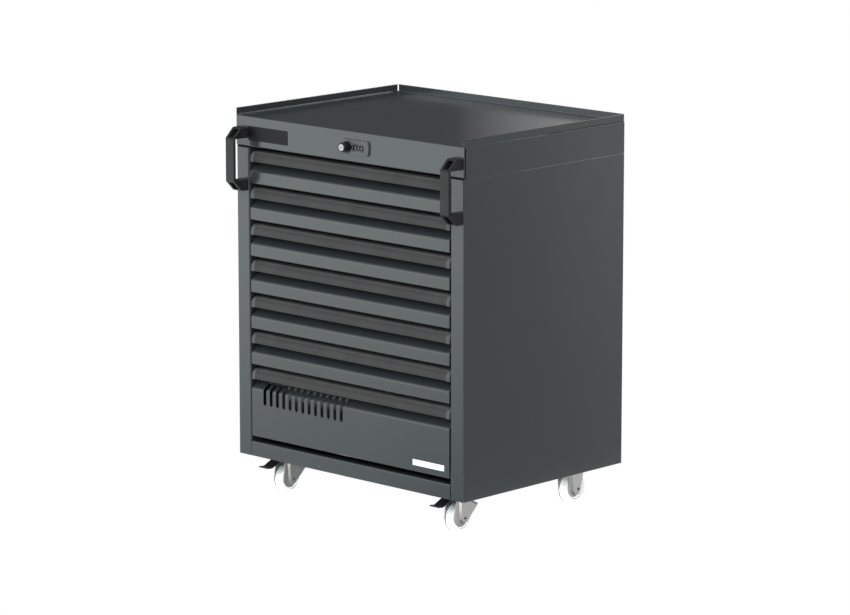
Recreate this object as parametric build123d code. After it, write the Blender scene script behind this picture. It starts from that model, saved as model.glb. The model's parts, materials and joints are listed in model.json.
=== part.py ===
from build123d import *
import os
from math import radians, sin, tan

# Rolling tool chest: a folded steel cabinet with seven drawers, a rimmed worktop and four casters.
# Units are millimetres.  The origin is on the floor under the middle of the overall box, +Z is up,
# the drawers open towards -Y and +X is the right-hand side seen from the front.

# Cabinet
WIDTH = 674.0
DEPTH = 505.0
SIDE_HEIGHT = 682.0
SHEET = 1.5
BEND = 3.0
POST_WIDTH = 38.0
POST_DEPTH = 40.0
FLANGE = 20.0
PLINTH_HEIGHT = 33.0
PLINTH_DEPTH = 25.0
PLINTH_SIDE_GAP = 1.5

# Worktop, its rim and the fascia that hangs from its front edge
FASCIA_GAP = 3.0
FASCIA_HEIGHT = 66.0
RIM_HEIGHT = 15.0
RIM_SLIT = 2.0
BAND_SETBACK = 5.0
SEAM_RADIUS = 1.3

# Slide uprights
UPRIGHT_DEPTH = 30.0
UPRIGHT_SETBACK = 60.0
UPRIGHT_REAR_MARGIN = 45.0

# Drawers
DRAWER_COUNT = 7
DRAWER_PITCH = 80.0
HAND_GAP = 53.0
PLINTH_GAP = 11.5
DRAWER_SIDE_GAP = 3.5
DRAWER_SHEET = 1.2
DRAWER_BEND = 1.8
FACE_BEND = 6.0
SLOPE_ANGLE = 35.0
RECESS_DEPTH = 28.65
RECESS_HEIGHT = 39.0
FRONT_TOP_FLANGE = 10.0
FRONT_WELD_FLANGE = 12.0
BOX_LIFT = 3.0
BOX_REAR_GAP = 27.0

# Plastic grip strip on every drawer
GRIP_THICKNESS = 3.3
GRIP_HEIGHT = 22.1
GRIP_RADIUS = 16.0
GRIP_INSET = 0.6
GRIP_RIB = 8.0
GRIP_CAP_WIDTH = 10.0
GRIP_CAP_PROUD = 0.4
GRIP_CAP_RISE = 6.0

# Vent slots of the bottom drawer
VENT_COUNT = 13
VENT_PITCH = 19.5
VENT_WIDTH = 9.2
VENT_MARGIN = 40.0
VENT_DROP = 34.0
VENT_SLOPE_RISE = 12.4

# Telescopic slides
SLIDE_THICKNESS = 12.7
SLIDE_HEIGHT = 35.0
SLIDE_SHEET = 1.2
SLIDE_GAP = 0.4
SLIDE_LENGTH = 430.0
SLIDE_START = 4.0

# Bridge handles
HANDLE_REACH = 40.0
HANDLE_HEIGHT = 137.5
HANDLE_RISE = 41.0
HANDLE_INSET = 19.0
HANDLE_BASE_WIDTH = 31.5
HANDLE_BAR_WIDTH = 27.0
HANDLE_BAR_THICKNESS = 5.5
HANDLE_ARM = 22.5
HANDLE_CHAMFER = 23.0
HANDLE_FLOOR = 5.0
POCKET_WIDTH = 15.0
POCKET_WALL = 3.0

# Combination lock in the fascia
LOCK_OFFSET = 25.75
LOCK_RISE = 32.5
LOCK_WIDTH = 80.0
LOCK_HEIGHT = 31.5
LOCK_PROUD = 5.0
LOCK_BOW = 3.0
LOCK_BODY_WIDTH = 72.0
LOCK_BODY_HEIGHT = 28.0
LOCK_BODY_DEPTH = 26.0
LOCK_FIT = 0.3
KNOB_OFFSET = -21.75
KNOB_RADIUS = 10.0
KNOB_COLLAR_RADIUS = 12.5
KNOB_COLLAR = 4.0
KNOB_REACH = 17.0
KNOB_SHAFT_RADIUS = 5.0
KEY_RADIUS = 7.0
KEY_DEPTH = 12.0
KEY_PROUD = 0.6
KEY_SLOT_WIDTH = 1.4
KEY_SLOT_HEIGHT = 7.5
DIAL_COUNT = 4
DIAL_PITCH = 8.7
DIAL_OFFSET = 9.1
DIAL_RADIUS = 12.0
DIAL_WIDTH = 6.4
DIAL_PROUD = 2.2
DIAL_FACETS = 10
DIAL_PIN_RADIUS = 2.5
DIAL_ROOM = 0.6
RUNNING = 0.08
SLIP = 0.3

# Central locking: a rod from the knob turns a crank that lifts a hooked bar behind the drawers
LOCK_ROD_RADIUS = 4.0
CRANK_ARM = 8.0
CRANK_REST_ANGLE = 45.0
CRANK_RADIUS = 12.0
CRANK_THICKNESS = 3.0
CRANK_PIN_RADIUS = 2.0
CRANK_SLOT_ROOM = 0.5
LOCK_BAR_WIDTH = 18.0
LOCK_BAR_THICKNESS = 3.0
LOCK_BAR_REAR_GAP = 14.0
LOCK_BAR_TAIL = 40.0
HOOK_WIDTH = 8.0
HOOK_THICKNESS = 3.0
HOOK_TIP = 11.0
HOOK_TIP_THICKNESS = 2.0
CATCH_WIDTH = 24.0
CATCH_DROP = 15.0
CATCH_LIP = 11.0
CATCH_SHEET = 1.5
CATCH_DEPTH = 8.0
HOOK_CLEAR = 1.5
GUIDE_WIDTH = 34.0
GUIDE_HEIGHT = 16.0
GUIDE_LIP = 2.0
HANGER_SHEET = 2.0

# Casters
CASTER_HEIGHT = 87.0
CASTER_INSET = 80.0
WHEEL_RADIUS = 31.5
WHEEL_WIDTH = 25.0
WHEEL_EDGE = 2.5
WHEEL_HUB_RADIUS = 9.0
WHEEL_RECESS_RADIUS = 23.0
WHEEL_RECESS = 3.0
AXLE_RADIUS = 4.0
FORK_GAP = 27.5
FORK_SHEET = 2.0
FORK_DISH = 5.0
FORK_LOBE = 19.5
FORK_LOBE_AHEAD = 7.5
FORK_LOBE_RISE = 1.5
FORK_NOSE = 20.5
FORK_SHOULDER = 3.5
FORK_TIP_BEHIND = 45.0
FORK_TIP_RISE = 24.5
FORK_PANEL_LOBE = 13.0
FORK_PANEL_NOSE = 15.0
FORK_PANEL_CORNER = 4.0
FORK_PANEL_TIP_INSET = 8.5
FORK_PANEL_TIP_DROP = 1.5
FORK_TAPER = 33.0
FORK_CORNER = 0.5
RIGID_LOBE = 18.5
RIGID_LEG_HALF = 26.5
RIGID_PANEL_LOBE = 14.5
RIGID_PANEL_AHEAD = 4.0
RIGID_PANEL_HALF = 23.0
FORK_CROWN = 2.5
FORK_CROWN_RADIUS = 28.0
FORK_CROWN_NOSE = 16.5
FRONT_AXLE_SETBACK = 69.0
SWIVEL_TRAIL = 36.0
REAR_AXLE_MARGIN = 75.0
PLATE_WIDTH = 80.0
PLATE_LENGTH = 70.0
PLATE_SHEET = 3.0
PLATE_CORNER = 6.0
RACE_RADIUS = 24.0
RACE_HEIGHT = 6.0
KINGPIN_RADIUS = 6.0
KINGPIN_HEAD_RADIUS = 10.0
KINGPIN_HEAD = 3.5

# Brake pedals
PEDAL_SHEET = 2.5
PEDAL_BEND = 7.0
PEDAL_HUB_RADIUS = 4.0
PEDAL_PIN_RADIUS = 2.5
PEDAL_PIN_SINK = 4.0
PEDAL_PIVOT_AHEAD = 5.0
PEDAL_PIVOT_RISE = 38.0
PEDAL_SIDE_ROOM = 0.5
PEDAL_SHOE_AHEAD = 8.0
PEDAL_SHOE_GAP = 3.0
PEDAL_TIP_AHEAD = 5.0
PEDAL_TIP_DROP = 19.0
PEDAL_TREAD = 14.0
PEDAL_TREAD_DIP = 1.5
PEDAL_TOP_SETBACK = 35.0
PEDAL_TOP_DROP = 8.5
PEDAL_TOP_FLAT = 7.0

# Levels and planes that the sizes above fix
LEFT = -WIDTH / 2
RIGHT = WIDTH / 2
FRONT = (HANDLE_REACH - DEPTH) / 2
BACK = FRONT + DEPTH
BOTTOM = CASTER_HEIGHT
SIDE_TOP = BOTTOM + SIDE_HEIGHT
FASCIA_BOTTOM = SIDE_TOP + FASCIA_GAP
WORKTOP = FASCIA_BOTTOM + FASCIA_HEIGHT
RIM_TOP = WORKTOP + RIM_HEIGHT
BACK_PANEL_FACE = BACK - 2 * SHEET
OPENING_HALF = WIDTH / 2 - POST_WIDTH
FRONT_HALF = OPENING_HALF - DRAWER_SIDE_GAP
BOX_HALF = OPENING_HALF - SLIDE_THICKNESS
SLOPE_RISE = RECESS_DEPTH * tan(radians(SLOPE_ANGLE))
RECESS_WALL = FRONT + RECESS_DEPTH
BOX_FRONT = RECESS_WALL + FRONT_TOP_FLANGE
BOX_BACK = BACK - BOX_REAR_GAP
SLIDE_FRONT = BOX_FRONT + SLIDE_START
SLIDE_BACK = SLIDE_FRONT + SLIDE_LENGTH
HANDLE_BOTTOM = FASCIA_BOTTOM + HANDLE_RISE - HANDLE_HEIGHT
LOCK_Z = FASCIA_BOTTOM + LOCK_RISE
KNOB_X = LOCK_OFFSET + KNOB_OFFSET
DIAL_Y = FRONT - LOCK_PROUD - DIAL_PROUD + DIAL_RADIUS
AXLE_Z = WHEEL_RADIUS
FRONT_AXLE_Y = FRONT + FRONT_AXLE_SETBACK
SWIVEL_Y = FRONT_AXLE_Y + SWIVEL_TRAIL
REAR_AXLE_Y = BACK - REAR_AXLE_MARGIN
CASTER_X = WIDTH / 2 - CASTER_INSET
PLATE_BOTTOM = BOTTOM - PLATE_SHEET
RACE_BOTTOM = PLATE_BOTTOM - RACE_HEIGHT
CROWN_TOP = RACE_BOTTOM - SLIP
CROWN_BOTTOM = CROWN_TOP - FORK_CROWN
FORK_BORDER = FORK_GAP / 2 + FORK_SHEET
FORK_HALF = FORK_BORDER + FORK_DISH
PEDAL_PIVOT_Y = FRONT_AXLE_Y - PEDAL_PIVOT_AHEAD
PEDAL_PIVOT_Z = AXLE_Z + PEDAL_PIVOT_RISE
CRANK_DROP = CRANK_ARM * sin(radians(CRANK_REST_ANGLE))
LOCK_BAR_X = KNOB_X + (CRANK_ARM + CRANK_DROP) / 2
LOCK_BAR_BACK = BACK_PANEL_FACE - LOCK_BAR_REAR_GAP + LOCK_BAR_THICKNESS
LOCK_BAR_FRONT = LOCK_BAR_BACK - LOCK_BAR_THICKNESS


def block(x0, x1, y0, y1, z0, z1):
    """Rectangular solid between two corners."""
    corner = (Align.MIN, Align.MIN, Align.MIN)
    return Pos(x0, y0, z0) * Box(x1 - x0, y1 - y0, z1 - z0, align=corner)


def along_x(face, x0, x1):
    """Extrude a face drawn in (y, z) from x0 to x1."""
    return extrude(Plane.YZ.offset(x0) * face, x1 - x0)


def along_y(face, y0, y1):
    """Extrude a face drawn in (x, z) from y0 to y1."""
    return extrude(Plane.XZ.offset(-y0) * face, y0 - y1)


def along_z(face, z0, z1):
    """Extrude a face drawn in (x, y) from z0 to z1."""
    return extrude(Plane.XY.offset(z0) * face, z1 - z0)


def disc(u, v, radius):
    """Round face centred at (u, v) in its drawing plane."""
    return Pos(u, v) * Circle(radius)


def outline(*points):
    """Closed face through straight-sided points."""
    return make_face(Polyline(*points, close=True))


def bent_sheet(points, radius, thickness, side=Side.RIGHT):
    """Section of a folded sheet whose outer skin follows the points, rounded at every bend."""
    skin = Wire(FilletPolyline(*points, radius=radius).edges())
    return make_face(skin.offset_2d(thickness, side=side).edges())


def hull_face(circles, points):
    """Convex outline round some circles and points, as on a pressed bracket."""
    rounds = [disc(u, v, r).edge() for u, v, r in circles]
    corners = [disc(u, v, FORK_CORNER).edge() for u, v in points]
    return make_hull(rounds + corners)


def outer_edges(part, z, x):
    """The straight edges of a part that run along Y at one height and one side."""
    near = part.edges().filter_by(Axis.Y).filter_by(lambda e: abs(e.center().Z - z) < SLIP)
    return near.filter_by(lambda e: abs(e.center().X - x) < SLIP)


def both_sides(part):
    """A part and its mirror image on the other side of the chest."""
    return [part, mirror(part, about=Plane.YZ)]


def save(name, *solids):
    """Write one node, made of one or more separate solids."""
    parts = [solid for shape in solids for solid in shape.solids()]
    shape = parts[0] if len(parts) == 1 else Compound(children=parts)
    export_step(shape, f"parts/{name}.step")
    return shape


def drawer_levels():
    """Face bottom and face top of every drawer, the top drawer first."""
    levels = []
    for number in range(1, DRAWER_COUNT):
        bottom = FASCIA_BOTTOM - number * DRAWER_PITCH
        levels.append((bottom, bottom + DRAWER_PITCH - HAND_GAP))
    lowest = BOTTOM + PLINTH_HEIGHT + PLINTH_GAP
    levels.append((lowest, levels[-1][0] - HAND_GAP))
    return levels


def box_levels(face):
    """Floor underside and rim of a drawer's box."""
    return face[0] + BOX_LIFT, face[1] + RECESS_HEIGHT


def slide_level(face):
    """Height of the middle of a drawer's slides."""
    return sum(box_levels(face)) / 2


# Cabinet shell

def left_side_panel():
    """Side sheet folded into the front post, with a rear flange, a top flange and closed post ends."""
    post_inner = LEFT + POST_WIDTH
    skin = [(post_inner, FRONT + POST_DEPTH), (post_inner, FRONT), (LEFT, FRONT), (LEFT, BACK),
            (LEFT + FLANGE, BACK)]
    wall = along_z(bent_sheet(skin, BEND, SHEET), BOTTOM, SIDE_TOP)
    wall = fillet(outer_edges(wall, SIDE_TOP, LEFT), SEAM_RADIUS)
    post_back = FRONT + POST_DEPTH
    wall += block(LEFT + SHEET, LEFT + FLANGE, post_back, BACK - SHEET, SIDE_TOP - SHEET, SIDE_TOP)
    for cap_z in (BOTTOM, SIDE_TOP - SHEET):
        wall += block(LEFT + SHEET, post_inner - SHEET, FRONT + SHEET, post_back, cap_z, cap_z + SHEET)
    return wall


def back_panel():
    """Flat sheet held inside the rear flanges of the two sides."""
    return block(LEFT + BEND, RIGHT - BEND, BACK_PANEL_FACE, BACK - SHEET, BOTTOM, SIDE_TOP - SHEET)


def base_pan():
    """Floor with turned-up front and rear edges, notched round the front posts."""
    front_skin = FRONT + SHEET
    skin = [(front_skin, BOTTOM + PLINTH_HEIGHT - BEND), (front_skin, BOTTOM), (BACK_PANEL_FACE, BOTTOM),
            (BACK_PANEL_FACE, BOTTOM + FLANGE)]
    pan = along_x(bent_sheet(skin, BEND, SHEET, Side.LEFT), LEFT + SHEET, RIGHT - SHEET)
    post = POST_WIDTH + PLINTH_SIDE_GAP
    for x0, x1 in ((LEFT, LEFT + post), (RIGHT - post, RIGHT)):
        pan -= block(x0, x1, FRONT, FRONT + POST_DEPTH, BOTTOM, BOTTOM + PLINTH_HEIGHT)
    return pan


def plinth_rail():
    """Front rail under the drawers, folded back over the turned-up edge of the base."""
    top = BOTTOM + PLINTH_HEIGHT
    rear = FRONT + PLINTH_DEPTH
    skin = [(FRONT, BOTTOM), (FRONT, top), (rear, top), (rear, top - FLANGE / 2)]
    half = OPENING_HALF - PLINTH_SIDE_GAP
    return along_x(bent_sheet(skin, BEND, SHEET), -half, half)


def top_frame():
    """Band round the sides and back of the worktop, with feet and corner pads on the side panels."""
    start = FRONT + BAND_SETBACK
    skin = [(LEFT, start), (LEFT, BACK), (RIGHT, BACK), (RIGHT, start)]
    band = along_z(bent_sheet(skin, BEND, SHEET), SIDE_TOP, WORKTOP - SHEET)
    band = fillet(outer_edges(band, SIDE_TOP, LEFT), SEAM_RADIUS)
    foot = block(LEFT + SHEET, LEFT + FLANGE, start, BACK - SHEET, SIDE_TOP, SIDE_TOP + SHEET)
    foot += block(LEFT + SHEET, LEFT + POST_WIDTH, FRONT + SHEET, FRONT + FLANGE, SIDE_TOP, FASCIA_BOTTOM)
    for strip in both_sides(foot):
        band += strip
    return band


def worktop_tray():
    """Worktop sheet turned up at the sides and back and folded down in front as the lock fascia."""
    under = WORKTOP - SHEET
    rims = [(LEFT, RIM_TOP), (LEFT, under), (RIGHT, under), (RIGHT, RIM_TOP)]
    floor = along_y(bent_sheet(rims, BEND, SHEET, Side.LEFT), FRONT, BACK - SHEET - RIM_SLIT)
    front_half = WIDTH / 2 - SHEET
    fold = [(FRONT + FLANGE, FASCIA_BOTTOM), (FRONT, FASCIA_BOTTOM), (FRONT, WORKTOP),
            (BACK - DEPTH / 2, WORKTOP)]
    fascia = along_x(bent_sheet(fold, BEND, SHEET), -WIDTH / 2, WIDTH / 2)
    return_end = block(LEFT, LEFT + BEND, FRONT + SHEET, FRONT + FLANGE, FASCIA_BOTTOM,
                       FASCIA_BOTTOM + BEND)
    for cut in both_sides(return_end):
        fascia -= cut
    floor -= block(-front_half, front_half, FRONT, FRONT + BEND, under - BEND, RIM_TOP)
    back_turn = [(BACK - DEPTH / 2, under), (BACK, under), (BACK, RIM_TOP)]
    inset = SHEET + RIM_SLIT
    rear_rim = along_x(bent_sheet(back_turn, BEND, SHEET, Side.LEFT), LEFT + inset, RIGHT - inset)
    tray = floor + fascia + rear_rim
    half = LOCK_BODY_WIDTH / 2 + LOCK_FIT
    tall = LOCK_BODY_HEIGHT / 2 + LOCK_FIT
    return tray - block(LOCK_OFFSET - half, LOCK_OFFSET + half, FRONT - SHEET, FRONT + 2 * SHEET,
                        LOCK_Z - tall, LOCK_Z + tall)


def slide_uprights():
    """Four folded channels that carry the slides behind the posts."""
    wall = LEFT + SHEET
    face = LEFT + POST_WIDTH
    solids = []
    for y0 in (FRONT + UPRIGHT_SETBACK, BACK - UPRIGHT_REAR_MARGIN - UPRIGHT_DEPTH):
        y1 = y0 + UPRIGHT_DEPTH
        skin = [(wall, y0), (face, y0), (face, y1), (wall, y1)]
        channel = along_z(bent_sheet(skin, BEND, SHEET, Side.LEFT), BOTTOM + SHEET, SIDE_TOP - SHEET)
        solids += both_sides(channel)
    return solids


# Drawers and slides

def channel_section(z, depth_from, depth_to, half_height, web_at_start):
    """C-shaped section of one slide member, as (distance from the upright, height)."""
    t = SLIDE_SHEET
    whole = outline((depth_from, z - half_height), (depth_to, z - half_height),
                    (depth_to, z + half_height), (depth_from, z + half_height))
    inner_from = depth_from + (t if web_at_start else 0)
    inner_to = depth_to - (0 if web_at_start else t)
    hollow = outline((inner_from, z - half_height + t), (inner_to, z - half_height + t),
                     (inner_to, z + half_height - t), (inner_from, z + half_height - t))
    return Pos(LEFT + POST_WIDTH, 0) * (whole - hollow)


def slide_member(z, rank):
    """Pair of slide members of one drawer: rank 0 on the cabinet, 1 between, 2 on the drawer."""
    nest = SLIDE_SHEET + SLIDE_GAP
    half = SLIDE_HEIGHT / 2 - rank * nest
    inward = SLIDE_THICKNESS - nest
    spans = ((0, inward), (nest, inward - SLIDE_GAP), (2 * nest, SLIDE_THICKNESS))
    section = channel_section(z, *spans[rank], half, rank < 2)
    return both_sides(along_y(section, SLIDE_FRONT, SLIDE_BACK))


def drawer_front(face, vented):
    """Folded front: face, sloped finger recess, grip seat and weld flanges, closed by end flanges."""
    bottom, top = face
    seat = top + RECESS_HEIGHT
    skin = [(BOX_FRONT, bottom + FRONT_WELD_FLANGE), (BOX_FRONT, bottom), (FRONT, bottom), (FRONT, top),
            (RECESS_WALL, top + SLOPE_RISE), (RECESS_WALL, seat), (BOX_FRONT, seat),
            (BOX_FRONT, seat - FRONT_WELD_FLANGE)]
    bends = [DRAWER_BEND, DRAWER_BEND, FACE_BEND, DRAWER_BEND, DRAWER_BEND, DRAWER_BEND]
    front = along_x(bent_sheet(skin, bends, DRAWER_SHEET), -FRONT_HALF, FRONT_HALF)
    path = FilletPolyline(*skin[1:-1], radius=bends[1:-1])
    end = make_face(path.edges() + [Line(skin[-2], skin[1])])
    front += along_x(end, -FRONT_HALF, -FRONT_HALF + DRAWER_SHEET)
    front += along_x(end, FRONT_HALF - DRAWER_SHEET, FRONT_HALF)
    if vented:
        front -= vent_cutter(top)
    return front


def vent_cutter(top):
    """Row of upright slots with round feet that run over the bend and up the slope."""
    low = top - VENT_DROP
    high = top + VENT_SLOPE_RISE
    half = VENT_WIDTH / 2
    slots = Sketch()
    for number in range(VENT_COUNT):
        x = -FRONT_HALF + VENT_MARGIN + number * VENT_PITCH
        foot = low + half
        slots += outline((x - half, foot), (x + half, foot), (x + half, high), (x - half, high))
        slots += disc(x, foot, half)
    reach = VENT_SLOPE_RISE / tan(radians(SLOPE_ANGLE)) + 2 * DRAWER_SHEET
    return along_y(slots, FRONT - SHEET, FRONT + reach)


def grip_crest(top, proud):
    """Bull-nosed outer line of a grip, from its rear edge over the top to the front."""
    front = FRONT + GRIP_INSET - proud
    high = top + RECESS_HEIGHT + GRIP_THICKNESS + proud
    spring = (front, high - GRIP_RADIUS)
    crown = (front + GRIP_RADIUS, high)
    return [Line((BOX_FRONT, top + RECESS_HEIGHT), (BOX_FRONT, high)), Line((BOX_FRONT, high), crown),
            TangentArc(spring, crown, tangent=(0, 1))]


def grip_strip(top):
    """Section of the grip: a lip that curls down in front of the recess and a rib on the wall behind."""
    t = GRIP_THICKNESS
    front = FRONT + GRIP_INSET
    seat = top + RECESS_HEIGHT
    spring = seat + t - GRIP_RADIUS
    low = seat + t - GRIP_HEIGHT
    edge = low + t / 2
    rib = seat - GRIP_RIB
    under = (front + GRIP_RADIUS, seat)
    lip = [Line((front, spring), (front, edge)),
           ThreePointArc((front, edge), (front + t / 2, low), (front + t, edge)),
           Line((front + t, edge), (front + t, spring)),
           TangentArc((front + t, spring), under, tangent=(0, 1))]
    inner = RECESS_WALL - t
    foot = Polyline(under, (inner, seat), (inner, rib), (RECESS_WALL, rib), (RECESS_WALL, seat),
                    (BOX_FRONT, seat))
    return make_face(grip_crest(top, 0) + lip + foot.edges())


def grip_cap(top):
    """Section of the solid end cap, a little larger than the strip and closed against the wall."""
    front = FRONT + GRIP_INSET - GRIP_CAP_PROUD
    seat = top + RECESS_HEIGHT
    high = seat + GRIP_THICKNESS + GRIP_CAP_PROUD
    low = seat + GRIP_THICKNESS - GRIP_HEIGHT
    closing = Polyline((front, high - GRIP_RADIUS), (front, low), (RECESS_WALL, low + GRIP_CAP_RISE),
                       (RECESS_WALL, seat), (BOX_FRONT, seat))
    return make_face(grip_crest(top, GRIP_CAP_PROUD) + closing.edges())


def drawer_grip(face):
    """Grip strip with a slightly larger cap at each end."""
    strip_half = FRONT_HALF - GRIP_CAP_WIDTH
    strip = along_x(grip_strip(face[1]), -strip_half, strip_half)
    cap = along_x(grip_cap(face[1]), -FRONT_HALF, -strip_half)
    return [strip] + both_sides(cap)


def catch_level(face):
    """Underside of the shelf of a drawer's lock catch."""
    return box_levels(face)[1] - CATCH_DROP


def drawer_box(face):
    """Open sheet box with a lock catch on its back wall."""
    low, rim = box_levels(face)
    t = DRAWER_SHEET
    shell = block(-BOX_HALF, BOX_HALF, BOX_FRONT, BOX_BACK, low, rim)
    shell -= block(-BOX_HALF + t, BOX_HALF - t, BOX_FRONT + t, BOX_BACK - t, low + t, rim + t)
    shelf = catch_level(face)
    lip_back = BOX_BACK + CATCH_DEPTH
    lip_front = lip_back - CATCH_SHEET
    lip_end = shelf - CATCH_LIP
    shelf_top = shelf + CATCH_SHEET
    fold = outline((BOX_BACK, shelf), (lip_front, shelf), (lip_front, lip_end), (lip_back, lip_end),
                   (lip_back, shelf_top), (BOX_BACK, shelf_top))
    return shell + along_x(fold, LOCK_BAR_X - CATCH_WIDTH / 2, LOCK_BAR_X + CATCH_WIDTH / 2)


# Handles

def bridge_handle():
    """Left bridge handle: two arms, chamfered corners with screw pockets, and a flat bar."""
    h = HANDLE_HEIGHT
    tip = HANDLE_REACH
    knee = HANDLE_REACH - HANDLE_CHAMFER
    inner = HANDLE_REACH - HANDLE_BAR_THICKNESS
    arm = HANDLE_ARM
    side_view = outline((0, 0), (-knee, 0), (-tip, HANDLE_CHAMFER), (-tip, h - HANDLE_CHAMFER), (-knee, h),
                        (0, h))
    loop = outline((SHEET, arm), (-inner, arm), (-inner, h - arm), (SHEET, h - arm))
    base = HANDLE_BASE_WIDTH / 2
    bar = HANDLE_BAR_WIDTH / 2
    plan = outline((-base, 0), (-base, -HANDLE_FLOOR), (-bar, -knee), (-bar, -tip), (bar, -tip),
                   (bar, -knee), (base, -HANDLE_FLOOR), (base, 0))
    body = along_x(side_view - loop, -base, base) & along_z(plan, 0, h)
    half = POCKET_WIDTH / 2
    for z0 in (POCKET_WALL, h - arm + POCKET_WALL):
        body -= block(-half, half, -tip, -HANDLE_FLOOR, z0, z0 + arm - 2 * POCKET_WALL)
    bar_edges = body.edges().filter_by(Axis.Z).filter_by(lambda e: e.center().Y < -tip + SLIP)
    body = fillet(bar_edges, HANDLE_BAR_THICKNESS / 2)
    return Pos(LEFT + HANDLE_INSET, FRONT, HANDLE_BOTTOM) * body


# Lock

def dial_positions():
    """Middle of every dial along X."""
    first = LOCK_OFFSET + DIAL_OFFSET - (DIAL_COUNT - 1) * DIAL_PITCH / 2
    return [first + number * DIAL_PITCH for number in range(DIAL_COUNT)]


def lock_housing():
    """Proud front plate with bowed ends, a body behind the fascia and a pin for the dials."""
    half = LOCK_WIDTH / 2
    tall = LOCK_HEIGHT / 2
    flat = half - LOCK_BOW
    edges = [Line((-flat, -tall), (flat, -tall)), ThreePointArc((flat, -tall), (half, 0), (flat, tall)),
             Line((flat, tall), (-flat, tall)), ThreePointArc((-flat, tall), (-half, 0), (-flat, -tall))]
    plate = along_y(Pos(LOCK_OFFSET, LOCK_Z) * make_face(edges), FRONT - LOCK_PROUD, FRONT)
    rim = plate.edges().filter_by(lambda e: abs(e.center().Y - FRONT + LOCK_PROUD) < SLIP)
    plate = fillet(rim, SHEET)
    housing = plate + block(LOCK_OFFSET - LOCK_BODY_WIDTH / 2, LOCK_OFFSET + LOCK_BODY_WIDTH / 2,
                            FRONT, FRONT + LOCK_BODY_DEPTH,
                            LOCK_Z - LOCK_BODY_HEIGHT / 2, LOCK_Z + LOCK_BODY_HEIGHT / 2)
    room = DIAL_WIDTH / 2 + SLIP
    for x in dial_positions():
        housing -= along_x(disc(DIAL_Y, LOCK_Z, DIAL_RADIUS + DIAL_ROOM), x - room, x + room)
    ends = dial_positions()
    pin = disc(DIAL_Y, LOCK_Z, DIAL_PIN_RADIUS)
    housing += along_x(pin, ends[0] - DIAL_PITCH / 2, ends[-1] + DIAL_PITCH / 2)
    bore = disc(KNOB_X, LOCK_Z, KNOB_SHAFT_RADIUS + RUNNING)
    return housing - along_y(bore, FRONT - LOCK_PROUD, FRONT + LOCK_BODY_DEPTH)


def lock_dial(x):
    """Thumb wheel with one flat facet for each digit."""
    rim = Pos(DIAL_Y, LOCK_Z) * RegularPolygon(DIAL_RADIUS, DIAL_FACETS, rotation=180.0 / DIAL_FACETS)
    rim -= disc(DIAL_Y, LOCK_Z, DIAL_PIN_RADIUS + RUNNING)
    return along_x(rim, x - DIAL_WIDTH / 2, x + DIAL_WIDTH / 2)


def lock_knob():
    """Turned knob with a collar, a shaft through the housing and a bore for the key cylinder."""
    back = FRONT - LOCK_PROUD - SLIP
    front = back - KNOB_REACH
    barrel = along_y(disc(KNOB_X, LOCK_Z, KNOB_RADIUS), front, back)
    tip = barrel.edges().filter_by(lambda e: abs(e.center().Y - front) < SLIP)
    barrel = chamfer(tip, SHEET)
    barrel += along_y(disc(KNOB_X, LOCK_Z, KNOB_COLLAR_RADIUS), back - KNOB_COLLAR, back)
    barrel += along_y(disc(KNOB_X, LOCK_Z, KNOB_SHAFT_RADIUS), back, FRONT + LOCK_BODY_DEPTH)
    return barrel - along_y(disc(KNOB_X, LOCK_Z, KEY_RADIUS + RUNNING), front, front + KEY_DEPTH)


def key_cylinder():
    """Bright key face in the end of the knob."""
    front = FRONT - LOCK_PROUD - SLIP - KNOB_REACH
    plug = along_y(disc(KNOB_X, LOCK_Z, KEY_RADIUS), front - KEY_PROUD, front + KEY_DEPTH)
    half = KEY_SLOT_WIDTH / 2
    tall = KEY_SLOT_HEIGHT / 2
    return plug - block(KNOB_X - tall, KNOB_X + tall, front - KEY_PROUD, front + KEY_DEPTH / 2,
                        LOCK_Z - half, LOCK_Z + half)


def crank_front():
    """Front face of the crank disc at the rear end of the lock rod."""
    return LOCK_BAR_FRONT - SLIP - CRANK_THICKNESS


def lock_rod():
    """Rod from the knob to the rear, ending in a crank whose pin works the lock bar."""
    shaft = along_y(disc(KNOB_X, LOCK_Z, LOCK_ROD_RADIUS), FRONT + LOCK_BODY_DEPTH, crank_front())
    web = along_y(disc(KNOB_X, LOCK_Z, CRANK_RADIUS), crank_front(), crank_front() + CRANK_THICKNESS)
    pin = disc(KNOB_X + CRANK_DROP, LOCK_Z - CRANK_DROP, CRANK_PIN_RADIUS)
    return shaft + web + along_y(pin, crank_front() + CRANK_THICKNESS, LOCK_BAR_BACK + SLIP)


def lock_bar(faces):
    """Flat bar behind the drawers with a crank slot at its head and one hook for each drawer."""
    half = LOCK_BAR_WIDTH / 2
    head = LOCK_Z - CRANK_DROP + CRANK_PIN_RADIUS + 2 * LOCK_BAR_THICKNESS
    foot = catch_level(faces[-1]) - CATCH_LIP - LOCK_BAR_TAIL
    bar = block(LOCK_BAR_X - half, LOCK_BAR_X + half, LOCK_BAR_FRONT, LOCK_BAR_BACK, foot, head)
    reach = CRANK_PIN_RADIUS + CRANK_SLOT_ROOM
    slot = block(KNOB_X + CRANK_DROP - reach, KNOB_X + CRANK_ARM + reach, LOCK_BAR_FRONT, LOCK_BAR_BACK,
                 LOCK_Z - CRANK_DROP - reach, LOCK_Z - CRANK_DROP + reach)
    bar -= slot
    tip_front = BOX_BACK + (CATCH_DEPTH - CATCH_SHEET - HOOK_TIP_THICKNESS) / 2
    for face in faces:
        tip_top = catch_level(face) - CATCH_LIP - HOOK_CLEAR
        arm_top = tip_top - HOOK_TIP
        x0 = LOCK_BAR_X - HOOK_WIDTH / 2
        bar += block(x0, x0 + HOOK_WIDTH, tip_front, LOCK_BAR_FRONT, arm_top - HOOK_THICKNESS, arm_top)
        bar += block(x0, x0 + HOOK_WIDTH, tip_front, tip_front + HOOK_TIP_THICKNESS, arm_top, tip_top)
    return bar


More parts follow.
